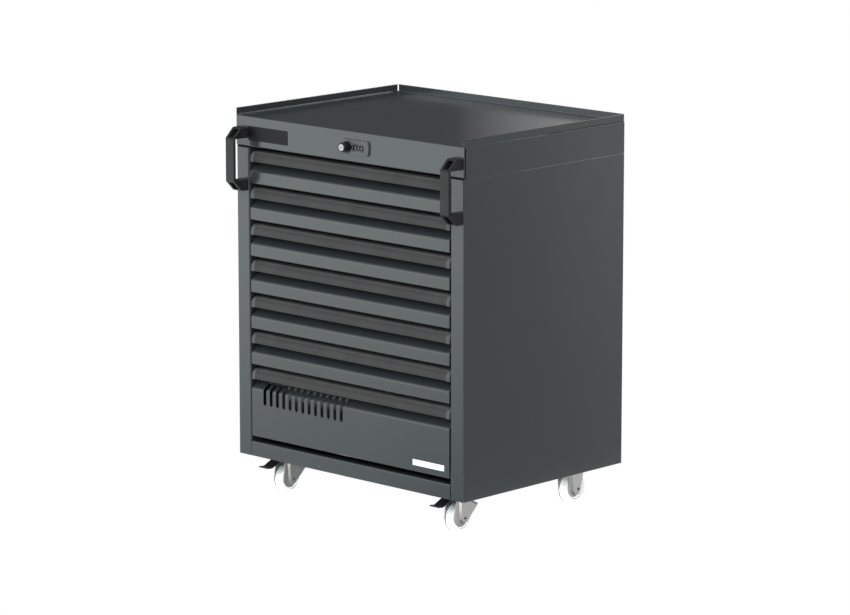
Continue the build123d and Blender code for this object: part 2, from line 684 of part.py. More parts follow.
def lock_bar_guides(faces):
    """Two keepers on the back panel and a hanger on the top frame that carries the rod's rear end."""
    half = GUIDE_WIDTH / 2
    bar = LOCK_BAR_WIDTH / 2 + SLIP
    guides = []
    for face in (faces[1], faces[-2]):
        top = catch_level(face) + DRAWER_PITCH / 2
        keeper = block(LOCK_BAR_X - half, LOCK_BAR_X + half, LOCK_BAR_FRONT - SLIP - GUIDE_LIP,
                       BACK_PANEL_FACE, top - GUIDE_HEIGHT, top)
        keeper -= block(LOCK_BAR_X - bar, LOCK_BAR_X + bar, LOCK_BAR_FRONT - SLIP,
                        LOCK_BAR_BACK + SLIP, top - GUIDE_HEIGHT, top)
        guides.append(keeper)
    wide = CRANK_RADIUS
    rod_room = LOCK_ROD_RADIUS + RUNNING
    roof = LOCK_Z + CRANK_RADIUS + HANGER_SHEET
    face = crank_front() - SLIP
    start = face - HANGER_SHEET
    hanger = block(KNOB_X - wide, KNOB_X + wide, start, BACK - SHEET, roof, roof + HANGER_SHEET)
    hanger += block(KNOB_X - wide, KNOB_X + wide, start, face, LOCK_Z - wide, roof)
    hanger -= along_y(disc(KNOB_X, LOCK_Z, rod_room), start, face)
    return guides + [hanger]


# Casters

def top_plate(y):
    """Caster top plate on the left side, with rounded corners."""
    plate = RectangleRounded(PLATE_WIDTH, PLATE_LENGTH, PLATE_CORNER)
    return along_z(Pos(-CASTER_X, y) * plate, PLATE_BOTTOM, BOTTOM)


def front_caster_plate():
    """Left swivel plate with its race and a headed kingpin."""
    plate = top_plate(SWIVEL_Y)
    plate += along_z(disc(-CASTER_X, SWIVEL_Y, RACE_RADIUS), RACE_BOTTOM, PLATE_BOTTOM)
    head_top = CROWN_BOTTOM - SLIP
    plate += along_z(disc(-CASTER_X, SWIVEL_Y, KINGPIN_RADIUS), head_top, RACE_BOTTOM)
    head = disc(-CASTER_X, SWIVEL_Y, KINGPIN_HEAD_RADIUS)
    return plate + along_z(head, head_top - KINGPIN_HEAD, head_top)


def pressed_leg(border, panel, x):
    """One caster leg: a flat border with a raised panel, its inner face half the fork gap from x."""
    inner = x + FORK_GAP / 2
    leg = along_x(border, inner, inner + FORK_SHEET)
    leg += extrude(Plane.YZ.offset(inner + FORK_SHEET) * panel, FORK_DISH, taper=FORK_TAPER)
    return leg


def leg_pair(border, panel, x):
    """Both legs of a caster centred at x."""
    right = pressed_leg(border, panel, 0)
    return [Pos(x, 0, 0) * right, Pos(x, 0, 0) * mirror(right, about=Plane.YZ)]


def axle_pin(x, y):
    """Straight axle that ends flush with the raised panels."""
    return along_x(disc(y, AXLE_Z, AXLE_RADIUS), x - FORK_HALF, x + FORK_HALF)


def swivel_fork():
    """Left swivel fork: crown round the kingpin and two dished legs that trail to the axle."""
    y0 = FRONT_AXLE_Y
    shoulder = CROWN_TOP - FORK_SHEET / 2
    tip = (y0 + FORK_TIP_BEHIND, AXLE_Z + FORK_TIP_RISE)
    border = hull_face([(y0 - FORK_LOBE_AHEAD, AXLE_Z + FORK_LOBE_RISE, FORK_LOBE)],
                       [(y0 - FORK_NOSE, shoulder), (y0 + FORK_SHOULDER, shoulder), tip])
    corner = FORK_PANEL_CORNER
    ceiling = CROWN_BOTTOM - corner
    panel_tip = (tip[0] - FORK_PANEL_TIP_INSET, tip[1] - FORK_PANEL_TIP_DROP)
    panel = hull_face([(y0, AXLE_Z, FORK_PANEL_LOBE), (y0 - FORK_PANEL_NOSE + corner, ceiling, corner),
                       (y0 + FORK_SHOULDER, ceiling, corner), (*panel_tip, corner)], [])
    legs = leg_pair(border, panel, -CASTER_X)
    crown = disc(-CASTER_X, SWIVEL_Y, FORK_CROWN_RADIUS)
    nose = y0 - FORK_CROWN_NOSE
    crown += outline((-CASTER_X - FORK_BORDER, nose), (-CASTER_X + FORK_BORDER, nose),
                     (-CASTER_X + FORK_BORDER, SWIVEL_Y), (-CASTER_X - FORK_BORDER, SWIVEL_Y))
    crown -= disc(-CASTER_X, SWIVEL_Y, KINGPIN_RADIUS + RUNNING)
    fork = along_z(crown, CROWN_BOTTOM, CROWN_TOP) + legs[0] + legs[1]
    fork -= axle_pin(-CASTER_X, y0)
    reach = FORK_GAP / 2 + PEDAL_PIN_SINK
    pivot = disc(PEDAL_PIVOT_Y, PEDAL_PIVOT_Z, PEDAL_PIN_RADIUS + RUNNING)
    return fork - along_x(pivot, -CASTER_X - reach, -CASTER_X + reach)


def rear_caster_bracket():
    """Left fixed caster: a plate with two dished legs straight over the axle."""
    top = PLATE_BOTTOM
    y0 = REAR_AXLE_Y
    border = hull_face([(y0 - FORK_LOBE_AHEAD, AXLE_Z + FORK_LOBE_RISE, RIGID_LOBE)],
                       [(y0 - RIGID_LEG_HALF, top), (y0 + RIGID_LEG_HALF, top)])
    panel = hull_face([(y0 - RIGID_PANEL_AHEAD, AXLE_Z, RIGID_PANEL_LOBE)],
                      [(y0 - RIGID_PANEL_HALF, top), (y0 + RIGID_PANEL_HALF, top)])
    legs = leg_pair(border, panel, -CASTER_X)
    bracket = legs[0] + legs[1]
    bracket -= block(-WIDTH / 2, 0, FRONT, BACK, top, BOTTOM)
    bracket += top_plate(y0)
    return bracket - axle_pin(-CASTER_X, y0)


def caster_wheel(x, y):
    """Solid wheel with bevelled tread edges, recessed sides and a hub bored for the axle."""
    half = WHEEL_WIDTH / 2
    hub = FORK_GAP / 2 - SLIP
    web = half - WHEEL_RECESS
    bore = AXLE_RADIUS + RUNNING
    slope = WHEEL_RECESS / 2
    right = [(hub, bore), (hub, WHEEL_HUB_RADIUS), (web, WHEEL_HUB_RADIUS + slope),
             (web, WHEEL_RECESS_RADIUS), (half, WHEEL_RECESS_RADIUS + slope),
             (half, WHEEL_RADIUS - WHEEL_EDGE), (half - WHEEL_EDGE, WHEEL_RADIUS)]
    left = [(-across, radius) for across, radius in reversed(right)]
    return Pos(x, y, AXLE_Z) * revolve(outline(*right, *left), Axis.X)


def brake_pedal():
    """Left brake pedal: a bent tread plate on a pivot hub, with a shoe over the wheel."""
    pivot = (PEDAL_PIVOT_Y, PEDAL_PIVOT_Z)
    top = (FRONT + PEDAL_TOP_SETBACK, BOTTOM - PEDAL_TOP_DROP)
    tip = (FRONT - PEDAL_TIP_AHEAD, BOTTOM - PEDAL_TIP_DROP)
    tread = (tip[0] + PEDAL_TREAD, tip[1] - PEDAL_TREAD_DIP)
    skin = [pivot, (top[0] + PEDAL_TOP_FLAT, top[1]), top, tread, tip]
    strip = bent_sheet(skin, PEDAL_BEND, PEDAL_SHEET, Side.LEFT)
    half = FORK_GAP / 2 - PEDAL_SIDE_ROOM
    pedal = along_x(strip, -half, half)
    pedal += along_x(disc(*pivot, PEDAL_HUB_RADIUS), -half, half)
    shoe_y = PEDAL_PIVOT_Y - PEDAL_SHOE_AHEAD
    drop = (WHEEL_RADIUS ** 2 - (FRONT_AXLE_Y - shoe_y) ** 2) ** 0.5
    shoe_z = AXLE_Z + drop + PEDAL_SHOE_GAP
    shoe = outline(pivot, (shoe_y, PEDAL_PIVOT_Z + PEDAL_HUB_RADIUS), (shoe_y - SHEET, shoe_z),
                   (shoe_y + SHEET, shoe_z))
    pedal += along_x(shoe, -half, half)
    reach = FORK_GAP / 2 + PEDAL_PIN_SINK - SLIP
    pedal += along_x(disc(*pivot, PEDAL_PIN_RADIUS), -reach, reach)
    return Pos(-CASTER_X, 0, 0) * pedal


def main():
    """Build every node and write it to parts/."""
    os.makedirs("parts", exist_ok=True)
    faces = drawer_levels()
    side_panels = both_sides(left_side_panel())
    save("left_side_panel", side_panels[0])
    save("right_side_panel", side_panels[1])
    save("back_panel", back_panel())
    save("base_pan", base_pan())
    save("plinth_rail", plinth_rail())
    save("top_frame", top_frame())
    save("worktop_tray", worktop_tray())
    save("slide_uprights", *slide_uprights())
    save("cabinet_rails", *[rail for face in faces for rail in slide_member(slide_level(face), 0)])
    handles = both_sides(bridge_handle())
    save("left_handle", handles[0])
    save("right_handle", handles[1])
    save("lock_housing", lock_housing())
    save("lock_knob", lock_knob())
    save("key_cylinder", key_cylinder())
    save("lock_rod", lock_rod())
    save("lock_bar", lock_bar(faces))
    save("lock_bar_guides", *lock_bar_guides(faces))
    for number, x in enumerate(dial_positions(), 1):
        save(f"lock_dial_{number}", lock_dial(x))
    for number, face in enumerate(faces, 1):
        save(f"drawer_{number}_front", drawer_front(face, number == DRAWER_COUNT))
        save(f"drawer_{number}_grip", *drawer_grip(face))
        save(f"drawer_{number}_box", drawer_box(face), *slide_member(slide_level(face), 2))
        save(f"drawer_{number}_slides", *slide_member(slide_level(face), 1))
    save("front_caster_plates", *both_sides(front_caster_plate()))
    save("rear_caster_brackets", *both_sides(rear_caster_bracket()),
         *both_sides(axle_pin(-CASTER_X, REAR_AXLE_Y)))
    forks = both_sides(swivel_fork())
    axles = both_sides(axle_pin(-CASTER_X, FRONT_AXLE_Y))
    pedals = both_sides(brake_pedal())
    for number, (side, x) in enumerate((("left", -CASTER_X), ("right", CASTER_X))):
        save(f"{side}_swivel_fork", forks[number], axles[number])
        save(f"{side}_brake_pedal", pedals[number])
        save(f"{side}_front_wheel", caster_wheel(x, FRONT_AXLE_Y))
        save(f"{side}_rear_wheel", caster_wheel(x, REAR_AXLE_Y))


main()
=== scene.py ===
# %% [markdown]
# # A rolling tool chest in a white studio
# The real chest is folded sheet steel: a cabinet with seven drawers, two handles, a lock and four
# casters.  It could be modelled again here, but the imported model already holds every solid, each on
# the body that moves it.  So this lesson only dresses the solids, adds the small pieces that a drawing
# leaves out, such as bolts, screws, rivets, dark strips of painted shade in joints, digits and plates,
# and lights the chest as a catalogue picture does.  The frame comes first, because every later piece
# takes its place from it.

# %% Load the imported chest
import json
import math

import bmesh
import bpy
from mathutils import Matrix, Vector


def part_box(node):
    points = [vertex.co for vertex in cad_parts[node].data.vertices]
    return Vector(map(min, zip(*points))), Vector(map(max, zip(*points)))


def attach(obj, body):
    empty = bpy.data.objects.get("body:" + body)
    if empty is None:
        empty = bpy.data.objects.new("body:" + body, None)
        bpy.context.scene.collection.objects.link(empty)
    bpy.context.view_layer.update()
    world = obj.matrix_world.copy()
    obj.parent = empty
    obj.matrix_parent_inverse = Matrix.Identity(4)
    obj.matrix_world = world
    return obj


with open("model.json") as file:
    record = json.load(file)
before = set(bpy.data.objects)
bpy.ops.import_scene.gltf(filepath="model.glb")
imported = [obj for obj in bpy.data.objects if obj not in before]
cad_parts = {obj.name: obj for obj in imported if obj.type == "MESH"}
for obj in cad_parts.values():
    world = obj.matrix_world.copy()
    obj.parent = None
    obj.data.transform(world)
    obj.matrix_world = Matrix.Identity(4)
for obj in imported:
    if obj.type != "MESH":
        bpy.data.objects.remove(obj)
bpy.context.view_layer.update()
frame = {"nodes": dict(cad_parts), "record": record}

MM = 0.001
NODES = frame["nodes"]

# %% [markdown]
# ## Reading sizes from the frame
# A piece that sits on the chest could be placed by typed numbers, but it would float as soon as the
# solid under it changed.  So it takes its place from the box of the solid that carries it.  Two planes
# are used again and again: the front of the fascia and drawers, and the underside of the cabinet.

# %% Planes and centres of the chest
DRAWERS = range(1, 8)
DIALS = range(1, 5)
SIGNS = {"left": -1.0, "right": 1.0}


def middle(node):
    """Middle of a solid's box."""
    low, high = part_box(node)
    return (low + high) / 2


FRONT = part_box("worktop_tray")[0].y
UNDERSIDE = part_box("base_pan")[0].z
print(f"front plane {FRONT:.4f} m, underside {UNDERSIDE:.4f} m")

# %% [markdown]
# ## Helpers for nodes
# Real finishes are never one flat colour.  A picture could be wrapped round each piece, but it would
# need unwrapping and would blur close by.  Here every finish is a Principled shader fed by noise on
# Object coordinates, so the grain keeps its real size on every piece and stays put when a drawer slides
# out.  Small helpers keep the recipes short: they add a node, do a sum, or read a coordinate.

# %% Node helpers
NOISE_LOW = 0.3
NOISE_HIGH = 0.7


def add(tree, kind, values=None, **settings):
    """Add a node with its settings and the values of its inputs."""
    node = tree.nodes.new(kind)
    for key, value in settings.items():
        setattr(node, key, value)
    for key, value in (values or {}).items():
        node.inputs[key].default_value = value
    return node


def feed(tree, value, socket):
    """Give an input a plain number or the output of another node."""
    if isinstance(value, float):
        socket.default_value = value
    else:
        tree.links.new(value, socket)


def maths(tree, operation, *values):
    """A math node on outputs of other nodes or plain numbers."""
    node = add(tree, "ShaderNodeMath", operation=operation)
    for socket, value in zip(node.inputs, values):
        feed(tree, value, socket)
    return node.outputs["Value"]


def coordinate(tree, axis, source="Object"):
    """One axis of an output of Texture Coordinate."""
    place = add(tree, "ShaderNodeTexCoord")
    parts = add(tree, "ShaderNodeSeparateXYZ")
    tree.links.new(place.outputs[source], parts.inputs["Vector"])
    return parts.outputs[axis]


def object_place(tree, stretch=(1.0, 1.0, 1.0), shift=(0.0, 0.0, 0.0)):
    """Object coordinates, stretched where a grain runs one way and shifted to a piece's middle."""
    place = add(tree, "ShaderNodeTexCoord")
    mapping = add(tree, "ShaderNodeMapping", {"Scale": stretch, "Location": shift})
    tree.links.new(place.outputs["Object"], mapping.inputs["Vector"])
    return mapping.outputs["Vector"]


def levels(tree, fac, low, high, start=NOISE_LOW, end=NOISE_HIGH):
    """Number that runs from low to high as the factor, mostly noise, goes from start to end."""
    limits = {"From Min": start, "From Max": end, "To Min": low, "To Max": high}
    node = add(tree, "ShaderNodeMapRange", limits)
    tree.links.new(fac, node.inputs["Value"])
    return node.outputs["Result"]


print("node helpers ready")

# %% [markdown]
# ## Helpers for finishes
# Paint, plating and plastic all vary a little in tone and sheen, and all have a fine relief.  Each could
# have its own long recipe, but they differ only in numbers, so a few shared steps serve them all: noise,
# a colour that swings by a share, a number that swings by an amount, and a bump.  The Bevel node in the
# bump turns the normal close to an edge, so an edge catches light as a rounded one does.

# %% Finish helpers
NOISE_DETAIL = 2.0
BEVEL_SAMPLES = 6


def new_finish(name):
    """A fresh material, its node tree and its shader."""
    material = bpy.data.materials.new(name)
    material.use_nodes = True
    tree = material.node_tree
    return material, tree, tree.nodes["Principled BSDF"]


def noise(tree, scale, detail=NOISE_DETAIL, stretch=(1.0, 1.0, 1.0)):
    """Soft noise with that many bumps to the metre."""
    node = add(tree, "ShaderNodeTexNoise", {"Scale": scale, "Detail": detail})
    tree.links.new(object_place(tree, stretch), node.inputs["Vector"])
    return node.outputs["Fac"]


def shade(colour, factor):
    """A colour made darker or lighter."""
    return tuple(channel * factor for channel in colour)


def tones(tree, fac, dark, light, start=NOISE_LOW, end=NOISE_HIGH):
    """Colour that runs from dark to light as the factor, mostly noise, goes from start to end."""
    ramp = add(tree, "ShaderNodeValToRGB")
    for element, place, colour in zip(ramp.color_ramp.elements, (start, end), (dark, light)):
        element.position = place
        element.color = (*colour, 1.0)
    tree.links.new(fac, ramp.inputs["Fac"])
    return ramp.outputs["Color"]


def varied(tree, fac, colour, share):
    """Colour that swings by a share to both sides of its tone."""
    return tones(tree, fac, shade(colour, 1.0 - share), shade(colour, 1.0 + share))


def uneven(tree, fac, number, amount):
    """Number that swings by an amount to both sides."""
    return levels(tree, fac, number - amount, number + amount)


def bump(tree, shader, height, strength, distance, rounding=0.0):
    """Raise the surface by a height pattern, over edges that look rounded by a radius."""
    node = add(tree, "ShaderNodeBump", {"Strength": strength, "Distance": distance})
    tree.links.new(height, node.inputs["Height"])
    if rounding > 0.0:
        edges = add(tree, "ShaderNodeBevel", {"Radius": rounding}, samples=BEVEL_SAMPLES)
        tree.links.new(edges.outputs["Normal"], node.inputs["Normal"])
    tree.links.new(node.outputs["Normal"], shader.inputs["Normal"])


print("finish helpers ready")

# %% [markdown]
# ## Powder coat
# The sheet metal has a satin anthracite powder coat: a dark blue-grey body under a fairly clear gloss
# that mirrors the studio, with the faint orange-peel that baked powder leaves and with soft edges where
# it flows round a fold.  A coat layer over a base would be the long way.  One shader with a raised index
# of refraction has the same gloss and exports better, so that was chosen: fine noise is its bump, slow
# noise its colour, and smudges its roughness.

# %% Powder coat
COAT_COLOUR = (0.026, 0.0313, 0.0335)
COAT_SHARE = 0.06
COAT_ROUGHNESS = 0.17
COAT_UNEVEN = 0.02
COAT_IOR = 1.85
COAT_ROUNDING = 1.8 * MM
CLOUD_SCALE = 2.5
SMUDGE_SCALE = 11.0
SMUDGE_DETAIL = 4.0
PEEL_SCALE = 700.0
PEEL_DETAIL = 1.0
PEEL_HEIGHT = 0.05 * MM
PEEL_STRENGTH = 0.05


def coat_nodes(tree, shader):
    """Gloss and orange-peel of the powder coat; returns its colour and roughness."""
    colour = varied(tree, noise(tree, CLOUD_SCALE), COAT_COLOUR, COAT_SHARE)
    smudge = noise(tree, SMUDGE_SCALE, SMUDGE_DETAIL)
    peel = noise(tree, PEEL_SCALE, PEEL_DETAIL)
    bump(tree, shader, peel, PEEL_STRENGTH, PEEL_HEIGHT, COAT_ROUNDING)
    shader.inputs["IOR"].default_value = COAT_IOR
    return colour, uneven(tree, smudge, COAT_ROUGHNESS, COAT_UNEVEN)


def powder_coat(name):
    """Satin anthracite coat over folded sheet."""
    material, tree, shader = new_finish(name)
    colour, roughness = coat_nodes(tree, shader)
    tree.links.new(colour, shader.inputs["Base Color"])
    tree.links.new(roughness, shader.inputs["Roughness"])
    return material


carcass_paint = powder_coat("carcass_paint")
drawer_paint = powder_coat("drawer_paint")
print("powder coats:", carcass_paint.name, drawer_paint.name)

# %% [markdown]
# ## Zinc plate
# Slides, casters and the locking rods are zinc-plated steel.  Plating is bright but not mirror-like: tiny
# crystals shift its tone, and rolling leaves a faint grain along the sheet.  An anisotropic shader could
# give the grain's sheen, but it needs tangents.  A cell pattern for the crystals and stretched noise for
# the grain work on any solid, so they were chosen.

# %% Zinc plate
ZINC_COLOUR = (0.60, 0.585, 0.56)
ZINC_ROUGHNESS = 0.30
ZINC_UNEVEN = 0.07
CRYSTAL_SCALE = 420.0
CRYSTAL_DARK = 0.90
STREAK_SCALE = 60.0
STREAK_DETAIL = 3.0
STREAK_STRENGTH = 0.15
STREAK_HEIGHT = 0.02 * MM
SLIDE_GRAIN = (20.0, 0.6, 20.0)
CASTER_GRAIN = (1.0, 40.0, 1.0)


def zinc(name, grain):
    """Zinc-plated steel with a grain along the sheet."""
    material, tree, shader = new_finish(name)
    cells = add(tree, "ShaderNodeTexVoronoi", {"Scale": CRYSTAL_SCALE})
    tree.links.new(object_place(tree), cells.inputs["Vector"])
    dark = shade(ZINC_COLOUR, CRYSTAL_DARK)
    colour = tones(tree, cells.outputs["Color"], dark, ZINC_COLOUR, start=0.0, end=1.0)
    tree.links.new(colour, shader.inputs["Base Color"])
    streak = noise(tree, STREAK_SCALE, STREAK_DETAIL, grain)
    roughness = uneven(tree, streak, ZINC_ROUGHNESS, ZINC_UNEVEN)
    tree.links.new(roughness, shader.inputs["Roughness"])
    bump(tree, shader, streak, STREAK_STRENGTH, STREAK_HEIGHT)
    shader.inputs["Metallic"].default_value = 1.0
    return material


slide_zinc = zinc("slide_zinc", SLIDE_GRAIN)
caster_zinc = zinc("caster_zinc", CASTER_GRAIN)
print("zinc finishes:", slide_zinc.name, caster_zinc.name)

# %% [markdown]
# ## Drawer boxes
# A drawer box is painted, but the slide members riveted to its sides are bare zinc, and both are one
# solid in the frame.  Two material slots would need the mesh cut apart, and the solids stay as they are.
# The members lie outside the box walls, so the distance from the middle plane tells the two finishes
# apart inside one material.

# %% Painted box with zinc slide members
MEMBER_DEPTH = 11.1 * MM
BOX_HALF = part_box("drawer_1_slides")[1].x - MEMBER_DEPTH


def beyond(tree, distance):
    """One outside that distance from the middle plane X = 0, nought inside."""
    sideways = maths(tree, "ABSOLUTE", coordinate(tree, "X"))
    return maths(tree, "GREATER_THAN", sideways, distance)


def mix_colours(tree, fac, first, second):
    """First colour where the factor is nought, a second, plain one where it is one."""
    mix = add(tree, "ShaderNodeMix", data_type="RGBA")
    from_socket, to_socket = (socket for socket in mix.inputs if socket.type == "RGBA")
    tree.links.new(fac, mix.inputs[0])
    tree.links.new(first, from_socket)
    to_socket.default_value = (*second, 1.0)
    return next(socket for socket in mix.outputs if socket.type == "RGBA")


def box_finish(name):
    """Powder coat on the box, zinc on the slide members outside its walls."""
    material, tree, shader = new_finish(name)
    colour, roughness = coat_nodes(tree, shader)
    member = beyond(tree, BOX_HALF)
    tree.links.new(mix_colours(tree, member, colour, ZINC_COLOUR), shader.inputs["Base Color"])
    tree.links.new(member, shader.inputs["Metallic"])
    tree.links.new(roughness, shader.inputs["Roughness"])
    return material


box_paint = box_finish("box_paint")
print(f"drawer boxes: paint inside {BOX_HALF:.4f} m, zinc outside")

# %% [markdown]
# ## Mouldings
# The handles, the lock plate, the knob, the dials and the wheels are mouldings that differ in tone and
# gloss.  Spark-eroded tools leave a fine grain on all of them.  Each could have its own material made by
# hand, but one recipe with a colour, a roughness and a gloss keeps them alike, and it also serves the
# thin paint on pedals, rivets, digits and plates.

# %% Moulded plastics and thin paints
PATCH_SCALE = 30.0
PATCH_DETAIL = 3.0
PATCH_SHARE = 0.08
SHEEN_UNEVEN = 0.04
GRAIN_SCALE = 1500.0
GRAIN_STRENGTH = 0.3
GRAIN_HEIGHT = 0.04 * MM
PLAIN_GLOSS = 0.5


def grey(level):
    """A neutral colour."""
    return (level, level, level)


def moulding(name, colour, roughness, gloss=PLAIN_GLOSS):
    """Moulded plastic with a fine spark grain and a slightly uneven sheen."""
    material, tree, shader = new_finish(name)
    patch = noise(tree, PATCH_SCALE, PATCH_DETAIL)
    tree.links.new(varied(tree, patch, colour, PATCH_SHARE), shader.inputs["Base Color"])
    tree.links.new(uneven(tree, patch, roughness, -SHEEN_UNEVEN), shader.inputs["Roughness"])
    shader.inputs["Specular IOR Level"].default_value = gloss
    bump(tree, shader, noise(tree, GRAIN_SCALE), GRAIN_STRENGTH, GRAIN_HEIGHT)
    return material


handle_plastic = moulding("handle_plastic", colour=grey(0.012), roughness=0.48)
lock_plastic = moulding("lock_plastic", colour=(0.085, 0.087, 0.088), roughness=0.40)
knob_plastic = moulding("knob_plastic", colour=grey(0.006), roughness=0.34)
dial_plastic = moulding("dial_plastic", colour=grey(0.008), roughness=0.22)
digit_paint = moulding("digit_paint", colour=(0.75, 0.75, 0.74), roughness=0.45)
wheel_nylon = moulding("wheel_nylon", colour=(0.84, 0.84, 0.83), roughness=0.20)
pedal_paint = moulding("pedal_paint", colour=(0.008, 0.008, 0.009), roughness=0.38)
rivet_steel = moulding("rivet_steel", colour=grey(0.05), roughness=0.38)
# Painted shade: a near-black finish for the strips that stand for the shade in the joints under the fascia
joint_shade_finish = moulding("joint_shade_finish", colour=grey(0.006), roughness=0.70, gloss=0.1)
# Painted shade: near-black finish for the rings that stand for the shade in the tread grooves
groove_shade = moulding("groove_shade", colour=grey(0.02), roughness=0.60, gloss=0.1)
badge_plate_finish = moulding("badge_plate_finish", colour=grey(0.004), roughness=0.40, gloss=0.25)
label_plate_finish = moulding("label_plate_finish", colour=(0.90, 0.91, 0.91), roughness=0.40)
print("mouldings ready")

# %% [markdown]
# ## Grip strips
# Every drawer has a grey extruded grip with a lighter moulded cap at each end.  Its crest, the part
# that looks straight up, is painted lighter as light from above would leave it, painted light that the
# Normal output of Texture Coordinate places.  The caps are told from the strip by their distance from
# the middle, as the slide members were.

# %% Grip strips with lighter end caps
CAP_WIDTH = 10.0 * MM
CAP_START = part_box("drawer_1_grip")[1].x - CAP_WIDTH
CAP_COLOUR = (0.085, 0.085, 0.085)
GRIP_COLOUR = (0.0455, 0.0445, 0.0438)
GRIP_SHARE = 0.1
GRIP_CLOUD = 18.0
GRIP_GLOSS = 0.2
GRIP_ROUGHNESS = 0.42
DRAWN_SCALE = 900.0
DRAWN_STRETCH = (0.02, 1.0, 1.0)
DRAWN_STRENGTH = 0.3
DRAWN_HEIGHT = 0.03 * MM
# Painted light: the grip's crest is made up to this many times lighter where it faces up
CREST_LIGHT_GAIN = 2.9
CREST_EDGE = (0.69, 1.0)


def worn_crest(tree, colour):
    """Colour painted lighter where the surface faces up: painted light, as light from above would leave it.
    """
    upward = coordinate(tree, "Z", "Normal")
    light_gain = levels(tree, upward, 1.0, CREST_LIGHT_GAIN, *CREST_EDGE)
    lightened = add(tree, "ShaderNodeVectorMath", operation="SCALE")
    tree.links.new(colour, lightened.inputs["Vector"])
    tree.links.new(light_gain, lightened.inputs["Scale"])
    return lightened.outputs["Vector"]


def grip_finish(name):
    """Grey extrusion, lined along its length, with lighter caps at both ends."""
    material, tree, shader = new_finish(name)
    # Painted light on the crest: lighter where the strip faces up
    strip = worn_crest(tree, varied(tree, noise(tree, GRIP_CLOUD), GRIP_COLOUR, GRIP_SHARE))
    cap = beyond(tree, CAP_START)
    tree.links.new(mix_colours(tree, cap, strip, CAP_COLOUR), shader.inputs["Base Color"])
    drawn = noise(tree, DRAWN_SCALE, stretch=DRAWN_STRETCH)
    roughness = uneven(tree, drawn, GRIP_ROUGHNESS, -SHEEN_UNEVEN)
    tree.links.new(roughness, shader.inputs["Roughness"])
    shader.inputs["Specular IOR Level"].default_value = GRIP_GLOSS
    bump(tree, shader, drawn, DRAWN_STRENGTH, DRAWN_HEIGHT)
    return material


grip_plastic = grip_finish("grip_plastic")
print(f"grip caps start {CAP_START:.4f} m from the middle")

# %% [markdown]
# ## Bright key face
# The key cylinder is turned brass with a chrome skin.  Turning leaves fine rings round its axis.  They
# could be cut into the mesh, but they are finer than a hair, so a wave texture draws them in the
# roughness, as rings about the Y axis once the pattern is centred on the cylinder.

# %% Turned chrome
CHROME_COLOUR = (0.52, 0.52, 0.51, 1.0)
CHROME_ROUGHNESS = (0.12, 0.24)
RING_SCALE = 300.0


def turned_chrome(name, centre):
    """Chrome with fine turning rings about an axis along Y."""
    material, tree, shader = new_finish(name)
    shape = {"wave_type": "RINGS", "rings_direction": "Y"}
    rings = add(tree, "ShaderNodeTexWave", {"Scale": RING_SCALE}, **shape)
    tree.links.new(object_place(tree, shift=-centre), rings.inputs["Vector"])
    roughness = levels(tree, rings.outputs["Fac"], *CHROME_ROUGHNESS, start=0.0, end=1.0)
    tree.links.new(roughness, shader.inputs["Roughness"])
    shader.inputs["Base Color"].default_value = CHROME_COLOUR
    shader.inputs["Metallic"].default_value = 1.0
    return material


key_chrome = turned_chrome("key_chrome", middle("key_cylinder"))
print("key face finish ready")

# %% [markdown]
# ## Dressing the solids
# Every solid of the real chest has one finish, and the record names its slot.  The solids could be
# dressed one by one, but with this many a table of slot to material is shorter and misses none.  Only
# the drawer boxes are set apart, because they carry two finishes.

# %% Give every solid its finish
FINISHES = {
    "carcass_paint": carcass_paint,
    "drawer_paint": drawer_paint,
    "slide_zinc": slide_zinc,
    "grip_plastic": grip_plastic,
    "handle_plastic": handle_plastic,
    "lock_plastic": lock_plastic,
    "knob_plastic": knob_plastic,
    "key_chrome": key_chrome,
    "dial_plastic": dial_plastic,
    "caster_zinc": caster_zinc,
    "pedal_paint": pedal_paint,
    "wheel_nylon": wheel_nylon,
}


def dress(node, material):
    """Put one material on a solid."""
    NODES[node].data.materials.clear()
    NODES[node].data.materials.append(material)


for entry in frame["record"]["subparts"]:
    dress(entry["node"], FINISHES[entry["material_slot"]])
for number in DRAWERS:
    dress(f"drawer_{number}_box", box_paint)

# %% [markdown]
# ## Fasteners from one node tree
# Bolts hold the casters, socket screws hold the handles and rivets close the axles.  Each could be a
# mesh of its own, but they differ only in size, in the number of sides and in the way they face.  So one
# Geometry Nodes tree makes them all: a ring is filled, pushed up into a head, drawn in as a chamfer,
# sunk in the middle, and copied to every point it is given.

# %% Steps of the fastener tree
def new_tree(name, inputs):
    """A geometry tree with named inputs; returns the tree, its input and its output node."""
    tree = bpy.data.node_groups.new(name, "GeometryNodeTree")
    tree.interface.new_socket("Geometry", in_out="INPUT", socket_type="NodeSocketGeometry")
    for label, kind in inputs.items():
        tree.interface.new_socket(label, in_out="INPUT", socket_type=kind)
    tree.interface.new_socket("Geometry", in_out="OUTPUT", socket_type="NodeSocketGeometry")
    return tree, add(tree, "NodeGroupInput"), add(tree, "NodeGroupOutput")


def extrude_top(tree, mesh, selection, offset):
    """Push the chosen face up and return the mesh and the new top face."""
    node = add(tree, "GeometryNodeExtrudeMesh", {"Individual": False})
    tree.links.new(mesh, node.inputs["Mesh"])
    if selection is not None:
        tree.links.new(selection, node.inputs["Selection"])
    feed(tree, offset, node.inputs["Offset Scale"])
    return node.outputs["Mesh"], node.outputs["Top"]


def scale_top(tree, mesh, selection, factor):
    """Draw the chosen face in towards its middle."""
    node = add(tree, "GeometryNodeScaleElements", {"Scale": factor})
    tree.links.new(mesh, node.inputs["Geometry"])
    tree.links.new(selection, node.inputs["Selection"])
    return node.outputs["Geometry"]


print("fastener steps ready")

# %% [markdown]
# ## One head for every fastener
# A real head is a low prism, chamfered on top, with a shallow dish or a socket in it.  A Boolean could
# cut the socket, but it leaves ragged faces.  Drawing in the top face and pushing it down leaves clean
# ones.  The sizes stay open as named inputs, so the same head serves bolts, screws and rivets.

